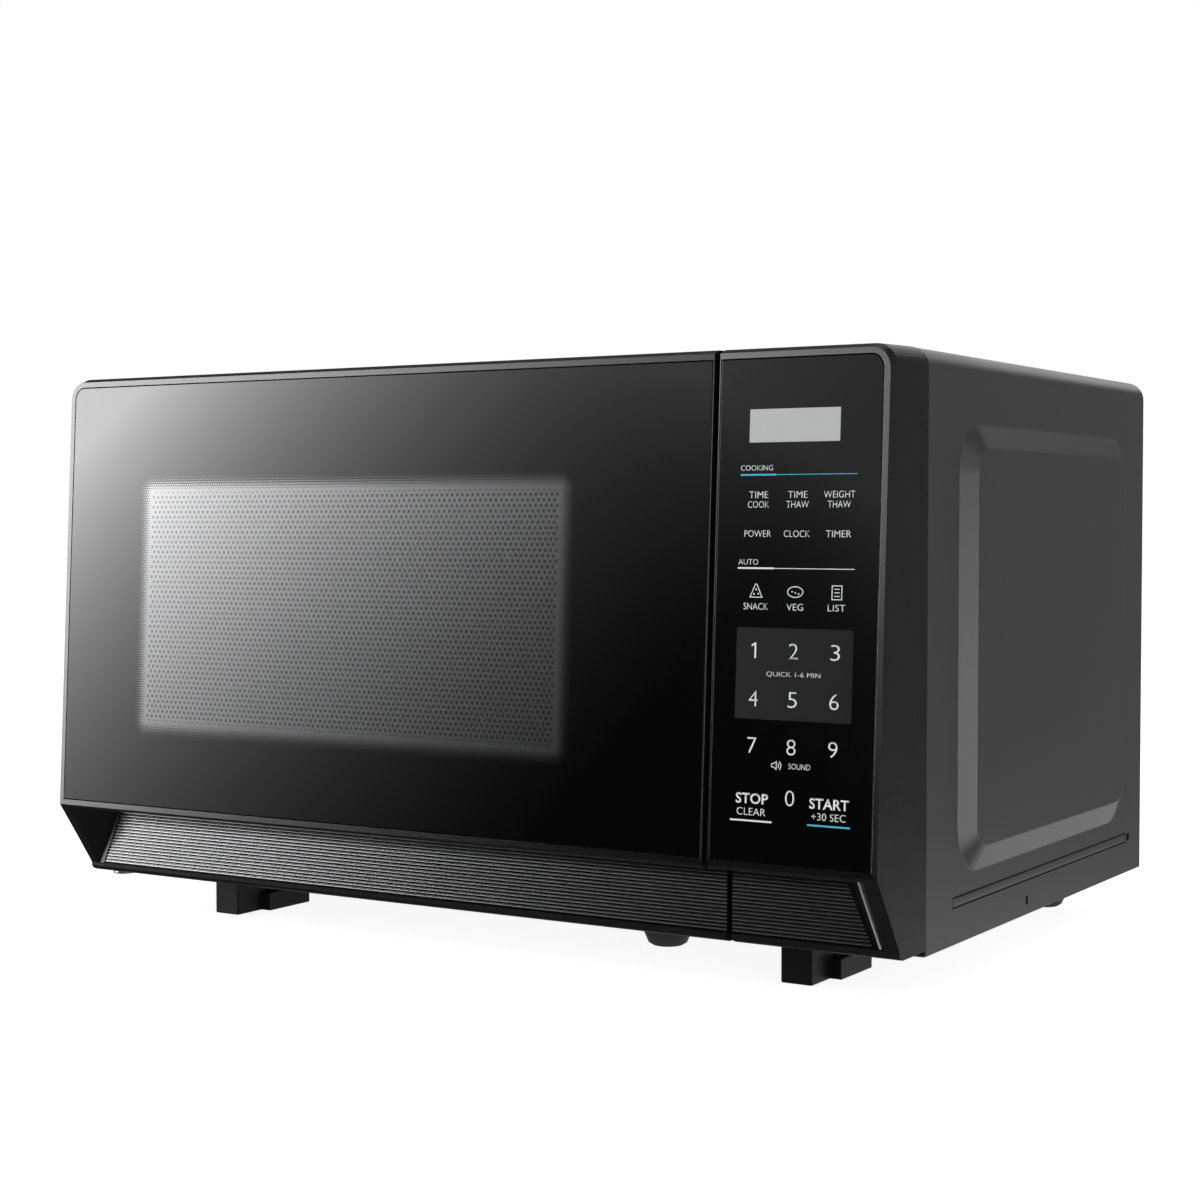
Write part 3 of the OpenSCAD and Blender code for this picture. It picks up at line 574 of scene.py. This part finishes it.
hinge_axis = Vector((-208 * MM, -129 * MM, 0.0))
door_width = door_high.x - door_low.x
door_body, door_face = moulding(door_width, door_low.x, 1, 0.0, door_high.y, hinge_axis)
door_glass = glass_plate("door_glass_plate", door_face, glass_t, 0.3 * MM, black_glass)
sink(door_body, door_face, glass_t)
seat = max((f for f in door_body.faces if f.normal.dot(face_normal) > 0.999),
           key=lambda f: f.calc_area())
well = (door_low.x + 6 * MM, door_high.x - 6 * MM, 64 * MM, 256 * MM)
pocket = hollow(door_body, door_high.y, well, lambda z: face_y(z) + glass_t)
bmesh.ops.delete(door_body, geom=[seat], context="FACES_ONLY")
bmesh.ops.triangle_fill(door_body, edges=[e for e in door_body.edges if len(e.link_faces) == 1],
                        use_beauty=True, use_dissolve=False)
bmesh.ops.delete(door_body, geom=[f for f in door_body.faces
                                  if all(v in {w for e in pocket for w in e.verts}
                                         for v in f.verts)], context="FACES_ONLY")
door_frame = new_object("door_moulding", door_body, moulded, satin_edge, lower_edge)
soft_edges(door_frame, 0.35 * MM, 2, 25.0)
ride(door_frame, "door", "front_plastic", "door_frame")
ride(door_glass, "door", "black_glass", "door_glass")
door_ribs = rib_strip("door_chin_ribs", 8.6, 11.7, 3.0, door_width, door_low.x, 1, lit_rib_satin)
ride(door_ribs, "door", "front_plastic")

panel_width = panel_high.x - panel_low.x
panel_body, panel_face = moulding(panel_width, panel_high.x, -1, 2.2, panel_high.y)
panel_glass = glass_plate("panel_glass_plate", panel_face, glass_t, 0.3 * MM, black_glass)
sink(panel_body, panel_face, glass_t)
well = (panel_low.x + 4 * MM, panel_high.x - 4 * MM, 64 * MM, 258 * MM)
pocket = hollow(panel_body, panel_high.y, well, lambda z: face_y(z) + 5.6 * MM)
bmesh.ops.edgeloop_fill(panel_body, edges=pocket)
panel_frame = new_object("panel_moulding", panel_body, moulded, lit_panel_edge, lower_edge)
soft_edges(panel_frame, 0.35 * MM, 2, 25.0)
ride(panel_frame, "chassis", "front_plastic", "panel_frame")
ride(panel_glass, "chassis", "black_glass", "panel_glass")
panel_ribs = rib_strip("panel_chin_ribs", 12.0, 11.7, 1.2, panel_width, panel_high.x, -1,
                       lit_rib_satin)
ride(panel_ribs, "chassis", "front_plastic")

ridge_ends = [Vector((panel_high.x - inset * MM, front_y + 22.4 * MM, z * MM))
              for inset, z in ((8.3, 25.6), (18.3, 52.0))]
run = ridge_ends[1] - ridge_ends[0]
ridge = bmesh.new()
bmesh.ops.create_cone(ridge, cap_ends=True, segments=20, radius1=0.6 * MM, radius2=0.6 * MM,
                      depth=run.length)
bmesh.ops.transform(ridge, verts=ridge.verts,
                    matrix=Matrix.Translation((ridge_ends[0] + ridge_ends[1]) / 2)
                    @ run.to_track_quat("Z", "Y").to_matrix().to_4x4())
for face in ridge.faces:
    face.smooth = len(face.verts) == 4
# The ridge is the black moulding's plastic; its mid grey is a painted highlight.
ridge_painted_highlight = surface("ridge_painted_highlight", (0.34, 0.34, 0.345), 0.4, grain=1800.0, bump=0.02, tone=0.04)
ridge = new_object("panel_chin_ridge", ridge, ridge_painted_highlight)
soft_edges(ridge, 0.1 * MM, 2, 60.0)
ride(ridge, "chassis", "front_plastic")


# ---- Window print on the door glass --------------------------------------------------------
# The black back print leaves a window: a grey ground with staggered round holes that lie over
# the steel screen. Towards its edges the ground breaks up into finer dots and fades out.

window = surface("window_glass", (0.0015, 0.0015, 0.0018), 0.04, grain=60.0, bump=0.0, tone=0.2,
                 spread=0.01)
ink = window.node_tree
coat = ink.nodes["Principled BSDF"]
tune(window, Coat_Weight=1.0, Coat_Roughness=0.02, Specular_IOR_Level=0.0)
centred = ink.nodes.new("ShaderNodeMapping")
centred.inputs["Location"].default_value = (48.0, 0.0, -155.5)
centred.inputs["Scale"].default_value = (1000.0, 1000.0, 1000.0)
ink.links.new(ink.nodes["Texture Coordinate"].outputs["Object"], centred.inputs["Vector"])
spot = centred.outputs["Vector"]


def vector_step(tree, action, source, by=None):
    """One vector operation on a socket, with a constant second operand."""
    step = tree.nodes.new("ShaderNodeVectorMath")
    step.operation = action
    tree.links.new(source, step.inputs[0])
    if by:
        step.inputs[1].default_value = by
    return step.outputs["Value" if action == "LENGTH" else "Vector"]


def soft_step(tree, source, start, end, low=0.0, high=1.0):
    """An eased change from low to high while the source runs from start to end."""
    step = tree.nodes.new("ShaderNodeMapRange")
    step.interpolation_type = "SMOOTHSTEP"
    for name, value in (("From Min", start), ("From Max", end), ("To Min", low), ("To Max", high)):
        step.inputs[name].default_value = value
    tree.links.new(source, step.inputs["Value"])
    return step.outputs["Result"]


def number_step(tree, action, first, second):
    """One operation on two sockets or on a socket and a number."""
    step = tree.nodes.new("ShaderNodeMath")
    step.operation = action
    for slot, value in zip(step.inputs, (first, second)):
        if isinstance(value, float):
            slot.default_value = value
        else:
            tree.links.new(value, slot)
    return step.outputs["Value"]


def nearest_dot(tree, source, pitch):
    """Distance in millimetres to the nearest point of a staggered grid."""
    row = pitch * math.sqrt(3.0)
    ways = []
    for shift in (0.0, 0.5):
        cell = vector_step(tree, "MULTIPLY", source, (1.0 / pitch, 0.0, 1.0 / row))
        cell = vector_step(tree, "ADD", cell, (shift, 0.0, shift))
        cell = vector_step(tree, "FRACTION", cell)
        cell = vector_step(tree, "SUBTRACT", cell, (0.5, 0.0, 0.5))
        cell = vector_step(tree, "MULTIPLY", cell, (pitch, 0.0, row))
        ways.append(vector_step(tree, "LENGTH", cell))
    return number_step(tree, "MINIMUM", *ways)


hole_pitch = 2.75
away = vector_step(ink, "ABSOLUTE", vector_step(ink, "MULTIPLY", spot, (1.0, 0.0, 1.0)))
away = vector_step(ink, "SUBTRACT", away, (116.0, 0.0, 54.5))
away = vector_step(ink, "LENGTH", vector_step(ink, "MAXIMUM", away, (0.0, 0.0, 0.0)))
dot_size = soft_step(ink, away, -2.0, 12.5, 0.85, -0.15)
fine_dots = number_step(ink, "SUBTRACT", dot_size, nearest_dot(ink, spot, hole_pitch / 2.0))
fine_dots = soft_step(ink, fine_dots, -0.12, 0.12)
holes = soft_step(ink, nearest_dot(ink, spot, hole_pitch), 0.55, 0.85, 0.35, 1.0)
inside = soft_step(ink, away, 0.0, 0.3, 1.0, 0.0)
holes = number_step(ink, "MAXIMUM", holes, number_step(ink, "SUBTRACT", 1.0, inside))
ground = number_step(ink, "MULTIPLY", fine_dots, holes)

grey = ink.nodes.new("ShaderNodeMix")
grey.data_type = "RGBA"
grey.inputs["B"].default_value = (0.108, 0.108, 0.11, 1.0)
ink.links.new(ground, grey.inputs["Factor"])
ink.links.new(coat.inputs["Base Color"].links[0].from_socket, grey.inputs["A"])
ink.links.new(grey.outputs["Result"], coat.inputs["Base Color"])
ink.links.new(soft_step(ink, fine_dots, 0.0, 1.0, 0.04, 0.2), coat.inputs["Roughness"])
ink.links.new(number_step(ink, "MULTIPLY", fine_dots, 0.9), coat.inputs["Metallic"])
door_glass.data.materials[0] = window


# ---- Print on the control panel ------------------------------------------------------------
# White, grey and cyan ink on the glass: a display window, two headed groups of function keys,
# three dishes with small signs, a keypad on a grey field, and the stop and start keys.

def on_glass(bm, x, z, lift=0.03):
    """Lays flat work drawn in X and Y millimetres on the leaning glass, centred at x and z."""
    lay = Matrix(((1.0, 0.0, 0.0), face_up, face_normal)).transposed().to_4x4()
    at = Vector((x * MM, face_y(z * MM), z * MM)) + face_normal * lift * MM
    bmesh.ops.transform(bm, verts=bm.verts,
                        matrix=Matrix.Translation(at) @ lay @ Matrix.Scale(MM, 4))
    return bm


def thicken(bm):
    """Gives flat ink a little body, so it is a closed shape."""
    grown = bmesh.ops.extrude_face_region(bm, geom=bm.faces[:])["geom"]
    bmesh.ops.translate(bm, verts=[v for v in grown if isinstance(v, bmesh.types.BMVert)],
                        vec=(0.0, 0.0, 0.03))
    bmesh.ops.recalc_face_normals(bm, faces=bm.faces)
    return bm


def patch(x_a, x_b, z_a, z_b, corner=0.0, lift=0.03):
    """A filled bar or field between two heights."""
    bm = bmesh.new()
    wide, tall = (x_b - x_a) / 2, (z_b - z_a) / 2
    field = bm.faces.new([bm.verts.new((sx * wide, sz * tall, 0.0))
                          for sx, sz in ((-1, -1), (1, -1), (1, 1), (-1, 1))])
    if corner:
        bmesh.ops.bevel(bm, geom=field.verts[:], offset=corner, offset_type="OFFSET",
                        segments=4, profile=0.5, affect="VERTICES", material=-1)
    return on_glass(thicken(bm), (x_a + x_b) / 2, (z_a + z_b) / 2, lift)


def outline(points, x, z, width=0.35):
    """A closed line of even width through points given in millimetres."""
    bm = bmesh.new()
    face = bm.faces.new([bm.verts.new((px, pz, 0.0)) for px, pz in points])
    bm.normal_update()
    bmesh.ops.inset_region(bm, faces=[face], thickness=width, depth=0.0, use_even_offset=True,
                           use_boundary=True)
    bmesh.ops.delete(bm, geom=[face], context="FACES")
    return on_glass(thicken(bm), x, z)


def filled(points, x, z):
    """A solid shape inside points given in millimetres."""
    bm = bmesh.new()
    bm.faces.new([bm.verts.new((px, pz, 0.0)) for px, pz in points])
    return on_glass(thicken(bm), x, z)


def lettering(words, x, z, cap, width, heavy=-0.008, from_left=False):
    """One line of capitals or figures, cap millimetres tall and width millimetres long."""
    curve = bpy.data.curves.new("line", "FONT")
    curve.body = words
    curve.offset = heavy
    curve.resolution_u = 3
    holder = bpy.data.objects.new("line", curve)
    scene.collection.objects.link(holder)
    flat = bpy.data.meshes.new_from_object(
        holder.evaluated_get(bpy.context.evaluated_depsgraph_get()))
    bpy.data.objects.remove(holder)
    bm = bmesh.new()
    bm.from_mesh(flat)
    bpy.data.meshes.remove(flat)
    bmesh.ops.remove_doubles(bm, verts=bm.verts, dist=0.0005)
    left, right = min(v.co.x for v in bm.verts), max(v.co.x for v in bm.verts)
    foot, head = min(v.co.y for v in bm.verts), max(v.co.y for v in bm.verts)
    start = 0.0 if from_left else -width / 2
    for v in bm.verts:
        v.co = Vector((start + (v.co.x - left) * width / (right - left),
                       ((v.co.y - foot) / (head - foot) - 0.5) * cap, 0.0))
    return on_glass(thicken(bm), x, z)


columns = (163.8, 181.3, 199.6)
white = [lettering("COOKING", 155.4, 217.8, 2.2, 14.5, from_left=True),
         lettering("AUTO", 155.4, 180.0, 2.2, 9.0, from_left=True),
         patch(155.2, 171.5, 177.15, 177.85), patch(171.5, 207.0, 177.35, 177.65),
         lettering("QUICK 1-6 MIN", 181.4, 135.2, 2.2, 24.0),
         lettering("SOUND", 185.2, 99.0, 2.3, 9.6),
         lettering("STOP", 164.4, 85.2, 4.3, 14.6, 0.018),
         lettering("CLEAR", 164.2, 79.9, 3.0, 13.0),
         patch(154.7, 173.5, 75.9, 76.6),
         lettering("START", 198.6, 85.0, 4.3, 17.2, 0.018),
         lettering("+30 SEC", 198.5, 79.9, 2.9, 15.0)]
for words, x, z, width in (("TIME", columns[0], 207.0, 8.6), ("COOK", columns[0], 203.1, 9.6),
                           ("TIME", columns[1], 207.0, 8.6), ("THAW", columns[1], 203.1, 10.0),
                           ("WEIGHT", columns[2], 207.0, 13.6), ("THAW", columns[2], 203.1, 10.0),
                           ("POWER", columns[0], 191.4, 12.0), ("CLOCK", columns[1], 191.4, 11.5),
                           ("TIMER", columns[2], 191.4, 11.0), ("SNACK", columns[0], 162.2, 11.0),
                           ("VEG", columns[1], 162.2, 7.4), ("LIST", columns[2], 162.2, 7.6)):
    white.append(lettering(words, x, z, 2.7, width))
for figures, z in (("123", 144.6), ("456", 125.3), ("789", 106.5)):
    for figure, x in zip(figures, columns):
        white.append(lettering(figure, x, z, 6.3, 4.1, -0.012) if figure != "1" else
                     filled([(0.0, -3.15), (0.75, -3.15), (0.75, 3.15), (0.15, 3.15),
                             (-1.35, 2.2), (-1.35, 1.45), (0.0, 2.25)], x, z))
white.append(lettering("0", 181.3, 86.3, 6.3, 4.1, -0.012))
white.append(outline([(-3.0, -2.6), (3.0, -2.6), (0.4, 3.0), (-0.4, 3.0)], columns[0], 168.3))
for x, z in ((-0.9, -1.2), (1.0, -1.1), (0.0, 0.6)):
    white.append(patch(columns[0] + x - 0.35, columns[0] + x + 0.35, 168.0 + z, 168.7 + z, 0.3))
white.append(outline([(3.6 * math.cos(a * math.tau / 20), 2.3 * math.sin(a * math.tau / 20))
                      for a in range(20)], columns[1], 168.2))
for x in (-1.4, 0.1, 1.5):
    white.append(patch(columns[1] + x - 0.3, columns[1] + x + 0.3, 167.6 - 0.3 * x,
                       168.2 - 0.3 * x, 0.25))
white.append(outline([(-2.3, -2.9), (2.3, -2.9), (2.3, 2.9), (-2.3, 2.9)], columns[2], 168.2))
for z in (166.8, 168.2, 169.6):
    white.append(patch(columns[2] - 1.2, columns[2] + 1.2, z - 0.16, z + 0.16))
white.append(outline([(-1.9, -0.8), (-0.9, -0.8), (0.5, -1.9), (0.5, 1.9), (-0.9, 0.8),
                      (-1.9, 0.8)], 174.6, 99.0, 0.3))
for reach in (1.3, 2.3):
    sweep = [math.radians(a) for a in range(-50, 51, 20)]
    white.append(outline([(reach * math.cos(a), reach * math.sin(a)) for a in sweep]
                         + [((reach - 0.36) * math.cos(a), (reach - 0.36) * math.sin(a))
                            for a in reversed(sweep)], 174.9, 99.0, 0.17))

white_ink = surface("white_ink", (0.78, 0.8, 0.8), 0.45, grain=1200.0, bump=0.05, tone=0.03)
cyan_ink = surface("cyan_ink", (0.05, 0.45, 0.66), 0.45, grain=1200.0, bump=0.05, tone=0.05)
grey_ink = surface("grey_ink", (0.006, 0.006, 0.0065), 0.5, grain=1200.0, bump=0.05, tone=0.05)
display = surface("display_window", (0.51, 0.52, 0.52), 0.35, grain=500.0, bump=0.03, tone=0.02)
tune(grey_ink, Specular_IOR_Level=0.25)
ride(new_object("panel_words", joined(white), white_ink), "chassis", "display_grey")
ride(new_object("panel_cyan_rules", joined([patch(155.4, 171.5, 214.65, 215.35),
                                            patch(171.5, 207.0, 214.85, 215.15),
                                            patch(189.3, 207.9, 76.0, 76.7)]), cyan_ink),
     "chassis", "display_grey")
ride(new_object("keypad_field", patch(155.6, 207.2, 117.0, 153.7, 0.6, 0.005), grey_ink),
     "chassis", "display_grey")
ride(new_object("display_window", patch(159.0, 199.2, 228.0, 241.4, 0.3), display),
     "chassis", "display_grey")


# ---- Feet ----------------------------------------------------------------------------------
# Two black moulded feet are screwed under the front. The other three are pressed out of the
# base sheet, and both are painted with the cabinet.

def finish_cad(finish, *names, edge=0.25):
    """The part keeps its shape: its loose triangles are merged and its edges are softened."""
    for name in names:
        for holder in nodes[name].material_slots:
            holder.material = finish
        weld = nodes[name].modifiers.new("weld", "WELD")
        weld.merge_threshold = 0.005 * MM
        if edge:
            soft_edges(nodes[name], edge * MM, 2, 40.0)


foot_black = surface("foot_black", (0.006, 0.006, 0.006), 0.38, grain=1600.0, bump=0.12, tone=0.1)
tune(foot_black, Specular_IOR_Level=0.15)
finish_cad(foot_black, "front_left_foot", "front_right_foot", edge=0.7)
finish_cad(paint, "base_plate", edge=0.0)
finish_cad(paint, "pressed_feet", edge=0.4)


# ---- Rear ----------------------------------------------------------------------------------
# The rear panel is bare zinc-coated sheet with air slots. The cabinet is held to it by six
# hex-head tapping screws, and the black gland for the cord snaps in a round hole.

zinc = surface("zinc_sheet", (0.42, 0.43, 0.44), 0.38, metal=0.85, grain=420.0, bump=0.04, tone=0.1,
               spread=0.1)
finish_cad(zinc, "rear_panel", edge=0.0)
gland_black = surface("gland_black", (0.012, 0.012, 0.012), 0.45, grain=1500.0, bump=0.1)
finish_cad(gland_black, "cable_gland", edge=0.4)

screw_zinc = surface("screw_zinc", (0.5, 0.5, 0.49), 0.3, metal=0.95, grain=2600.0, bump=0.1)
screws = []
rear_y = cad_box[1].y
for x, z in ((-205, 240), (205, 240), (-205, 110), (205, 110), (-205, 34), (205, 34)):
    for sides, radius, start, height in ((24, 4.0, -1.4, 0.45), (6, 3.0, -1.0, 0.85)):
        bm = bmesh.new()
        bmesh.ops.create_cone(bm, cap_ends=True, segments=sides, radius1=radius * MM,
                              radius2=(radius - 0.35) * MM, depth=height * MM)
        bmesh.ops.rotate(bm, verts=bm.verts, matrix=Matrix.Rotation(math.radians(-90), 3, "X"))
        bmesh.ops.translate(bm, verts=bm.verts,
                            vec=(x * MM, rear_y + (start + height / 2) * MM, z * MM))
        screws.append(bm)
rear_screws = new_object("rear_screws", joined(screws), screw_zinc)
soft_edges(rear_screws, 0.1 * MM, 2, 25.0)
ride(rear_screws, "chassis", "screw_steel", "cover_screws")


# ---- Inner side of the door ----------------------------------------------------------------
# A black painted steel pan closes the door against the oven's front. A perforated steel screen
# lies behind its window, a smoked film and a black moulded frame with two latch slots cover it.

door_paint = surface("door_paint", (0.014, 0.014, 0.015), 0.34, grain=1300.0, bump=0.1)
finish_cad(door_paint, "door_pan", edge=0.4)
cover_black = surface("inner_cover_black", (0.013, 0.013, 0.014), 0.4, grain=1600.0, bump=0.15)
finish_cad(cover_black, "door_inner_cover", edge=0.6)
film = surface("window_film", (0.32, 0.32, 0.33), 0.12, grain=200.0, bump=0.01, tone=0.05,
               spread=0.03)
tune(film, Transmission_Weight=0.94, IOR=1.35)
finish_cad(film, "door_film", edge=0.0)

screen_low, screen_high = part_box("door_screen")
cell = bmesh.new()
rim_ring = bmesh.ops.create_circle(cell, segments=12, radius=0.72 * MM)["verts"]
for v in rim_ring:
    v.co = Vector((v.co.x, 0.0, v.co.y))
grown = bmesh.ops.extrude_edge_only(cell, edges=cell.edges[:])["geom"]
half_side = hole_pitch / 2 * MM
for v in grown:
    if isinstance(v, bmesh.types.BMVert):
        turn = math.atan2(v.co.z, v.co.x)
        reach = half_side / math.cos((turn + math.radians(30)) % math.radians(60)
                                     - math.radians(30))
        v.co = Vector((reach * math.cos(turn), 0.0, reach * math.sin(turn)))
row_rise = hole_pitch * math.sqrt(0.75) * MM
across = int((screen_high.x - screen_low.x) / (hole_pitch * MM)) - 1
upward = int((screen_high.z - screen_low.z) / (2 * row_rise))
bmesh.ops.translate(cell, verts=cell.verts, vec=(screen_low.x + half_side, screen_high.y,
                                                 screen_low.z + row_rise))
bmesh.ops.recalc_face_normals(cell, faces=cell.faces)
screen = new_object("perforated_screen", cell, door_paint)
for name, count, offset in (("along", across, (hole_pitch * MM, 0.0, 0.0)),
                            ("stagger", 2, (half_side, 0.0, row_rise)),
                            ("rows", upward, (0.0, 0.0, 2 * row_rise))):
    copies = screen.modifiers.new(name, "ARRAY")
    copies.count = count
    copies.use_relative_offset = False
    copies.use_constant_offset = True
    copies.constant_offset_displace = offset
ride(screen, "door", "door_sheet", "door_screen")


# ---- Latch and hinges ----------------------------------------------------------------------
# Two hooks on one sprung white moulding lock in a bracket behind the front plate, and press
# three interlock switches. The door turns on two pinned plates screwed to the front plate.

nylon = surface("white_nylon", (0.7, 0.68, 0.62), 0.42, grain=900.0, bump=0.06, tone=0.04)
finish_cad(nylon, "latch_hooks", "latch_bracket", edge=0.4)
switch_black = surface("switch_black", (0.02, 0.02, 0.02), 0.5, grain=1500.0, bump=0.1)
finish_cad(switch_black, "microswitches", edge=0.4)
wire = surface("spring_wire", (0.5, 0.5, 0.51), 0.25, metal=1.0, grain=4000.0, bump=0.05)
finish_cad(wire, "latch_spring", edge=0.0)
finish_cad(zinc, "upper_hinge", "lower_hinge", edge=0.2)


# ---- Oven cavity ---------------------------------------------------------------------------
# Spot-welded steel sheets, sprayed with light grey enamel inside and on the front plate. A mica
# sheet covers the waveguide's mouth, and groups of small holes let in air and the lamp's light.

enamel = surface("grey_enamel", (0.47, 0.48, 0.48), 0.3, grain=700.0, bump=0.12, tone=0.03,
                 spread=0.05, depth=0.0001)
finish_cad(enamel, "front_plate", edge=0.2)
finish_cad(enamel, "cavity_floor", "cavity_ceiling", "cavity_left_wall", "cavity_right_wall",
           "cavity_rear_wall", edge=0.0)
mica = surface("mica_sheet", (0.42, 0.36, 0.24), 0.42, grain=260.0, bump=0.08, tone=0.16,
               stretch=(1.0, 0.35, 1.0))
finish_cad(mica, "waveguide_cover", edge=0.15)


# ---- Turntable -----------------------------------------------------------------------------
# A pressed clear glass tray sits on three lugs of a moulded coupler, which the motor under the
# floor turns. Its rim runs on a loose ring with three rollers.

tray_glass = surface("tray_glass", (0.9, 0.955, 0.94), 0.04, grain=90.0, bump=0.05, tone=0.02,
                     spread=0.02)
tune(tray_glass, Transmission_Weight=1.0, IOR=1.47)
tray_low, tray_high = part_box("glass_tray")
tray_middle = Vector(((tray_low.x + tray_high.x) / 2, (tray_low.y + tray_high.y) / 2, tray_low.z))
dish = bmesh.new()
section = [(0.0, 0.5), (86.0, 0.5), (88.0, 0.0), (104.0, 0.0), (107.0, 0.4), (111.0, 1.8),
           (121.5, 11.0), (122.4, 12.2), (122.2, 13.2), (121.2, 13.5), (120.2, 13.0),
           (112.6, 6.2), (109.0, 4.7), (104.0, 4.2), (0.0, 4.2)]
curve_points = [dish.verts.new((r * MM, 0.0, z * MM)) for r, z in section]
curve_edges = [dish.edges.new((a, b)) for a, b in zip(curve_points, curve_points[1:])]
bmesh.ops.spin(dish, geom=curve_points + curve_edges, cent=(0.0, 0.0, 0.0), axis=(0.0, 0.0, 1.0),
               angle=math.tau, steps=96, use_merge=True)
bmesh.ops.remove_doubles(dish, verts=dish.verts, dist=tiny)
bmesh.ops.translate(dish, verts=dish.verts, vec=tray_middle)
bmesh.ops.recalc_face_normals(dish, faces=dish.faces)
shade(dish)
tray = new_object("turntable_dish", dish, tray_glass)
ride(tray, "tray", "clear_glass", "glass_tray")
ring_white = surface("ring_white", (0.72, 0.7, 0.64), 0.38, grain=800.0, bump=0.05, tone=0.03)
finish_cad(ring_white, "roller_ring", "roller_a", "roller_b", "roller_c", "turntable_coupler",
           edge=0.4)
finish_cad(zinc, "turntable_motor", edge=0.4)


# ---- Power parts ---------------------------------------------------------------------------
# A laminated transformer with copper windings stands on the base. The magnetron with its
# aluminium fins is bolted to the waveguide, beside the oil-filled capacitor and its diode.

lamination = surface("lamination", (0.075, 0.062, 0.055), 0.5, metal=0.4, grain=300.0, bump=0.3,
                     tone=0.25, stretch=(1.0, 12.0, 0.2))
finish_cad(lamination, "transformer_core", edge=0.4)
copper = surface("copper_wire", (0.48, 0.17, 0.055), 0.32, metal=0.9, grain=420.0, bump=0.5,
                 tone=0.3, depth=0.0004, stretch=(0.1, 0.1, 6.0))
finish_cad(copper, "transformer_windings", edge=1.0)
tin = surface("antenna_tin", (0.55, 0.42, 0.28), 0.3, metal=0.9, grain=1200.0, bump=0.08)
finish_cad(tin, "magnetron_antenna", edge=0.5)
finish_cad(zinc, "magnetron_case", "waveguide", "capacitor", "capacitor_clamp", edge=0.4)
aluminium = surface("fin_aluminium", (0.62, 0.63, 0.64), 0.35, metal=0.95, grain=900.0, bump=0.1,
                    stretch=(1.0, 1.0, 0.2))
finish_cad(aluminium, "magnetron_fins", edge=0.1)
finish_cad(switch_black, "diode", "thermal_cutouts", edge=0.5)


# ---- Cooling fan, duct and lamp ------------------------------------------------------------
# A shaded-pole motor turns a five-blade fan in a moulded shroud. The duct leads part of the air
# to the cavity, and a small clear bulb behind its holes lights it.

finish_cad(nylon, "fan_shroud", "fan_blade", "air_duct", "lamp_socket", edge=0.4)
motor_steel = surface("motor_steel", (0.3, 0.3, 0.31), 0.4, metal=0.8, grain=500.0, bump=0.2,
                      tone=0.15, stretch=(1.0, 10.0, 1.0))
finish_cad(motor_steel, "fan_motor", edge=0.4)
finish_cad(screw_zinc, "fan_shaft", edge=0.1)
bulb = surface("lamp_glass", (0.95, 0.93, 0.86), 0.06, grain=150.0, bump=0.02, tone=0.02,
               spread=0.03)
tune(bulb, Transmission_Weight=0.9)
finish_cad(bulb, "lamp", edge=0.3)


# ---- Control electronics -------------------------------------------------------------------
# A touch sheet lies behind the panel glass, with a grey display module above it. The main
# board with its relay and the mains filter board are plain green fibreglass boards.

board = surface("green_board", (0.035, 0.14, 0.045), 0.4, grain=240.0, bump=0.1, tone=0.3)
finish_cad(board, "control_board", "filter_board", edge=0.2)
sheet_black = surface("touch_sheet", (0.03, 0.032, 0.035), 0.45, grain=900.0, bump=0.06)
finish_cad(sheet_black, "touch_sheet", edge=0.0)
finish_cad(display, "display_module", edge=0.3)
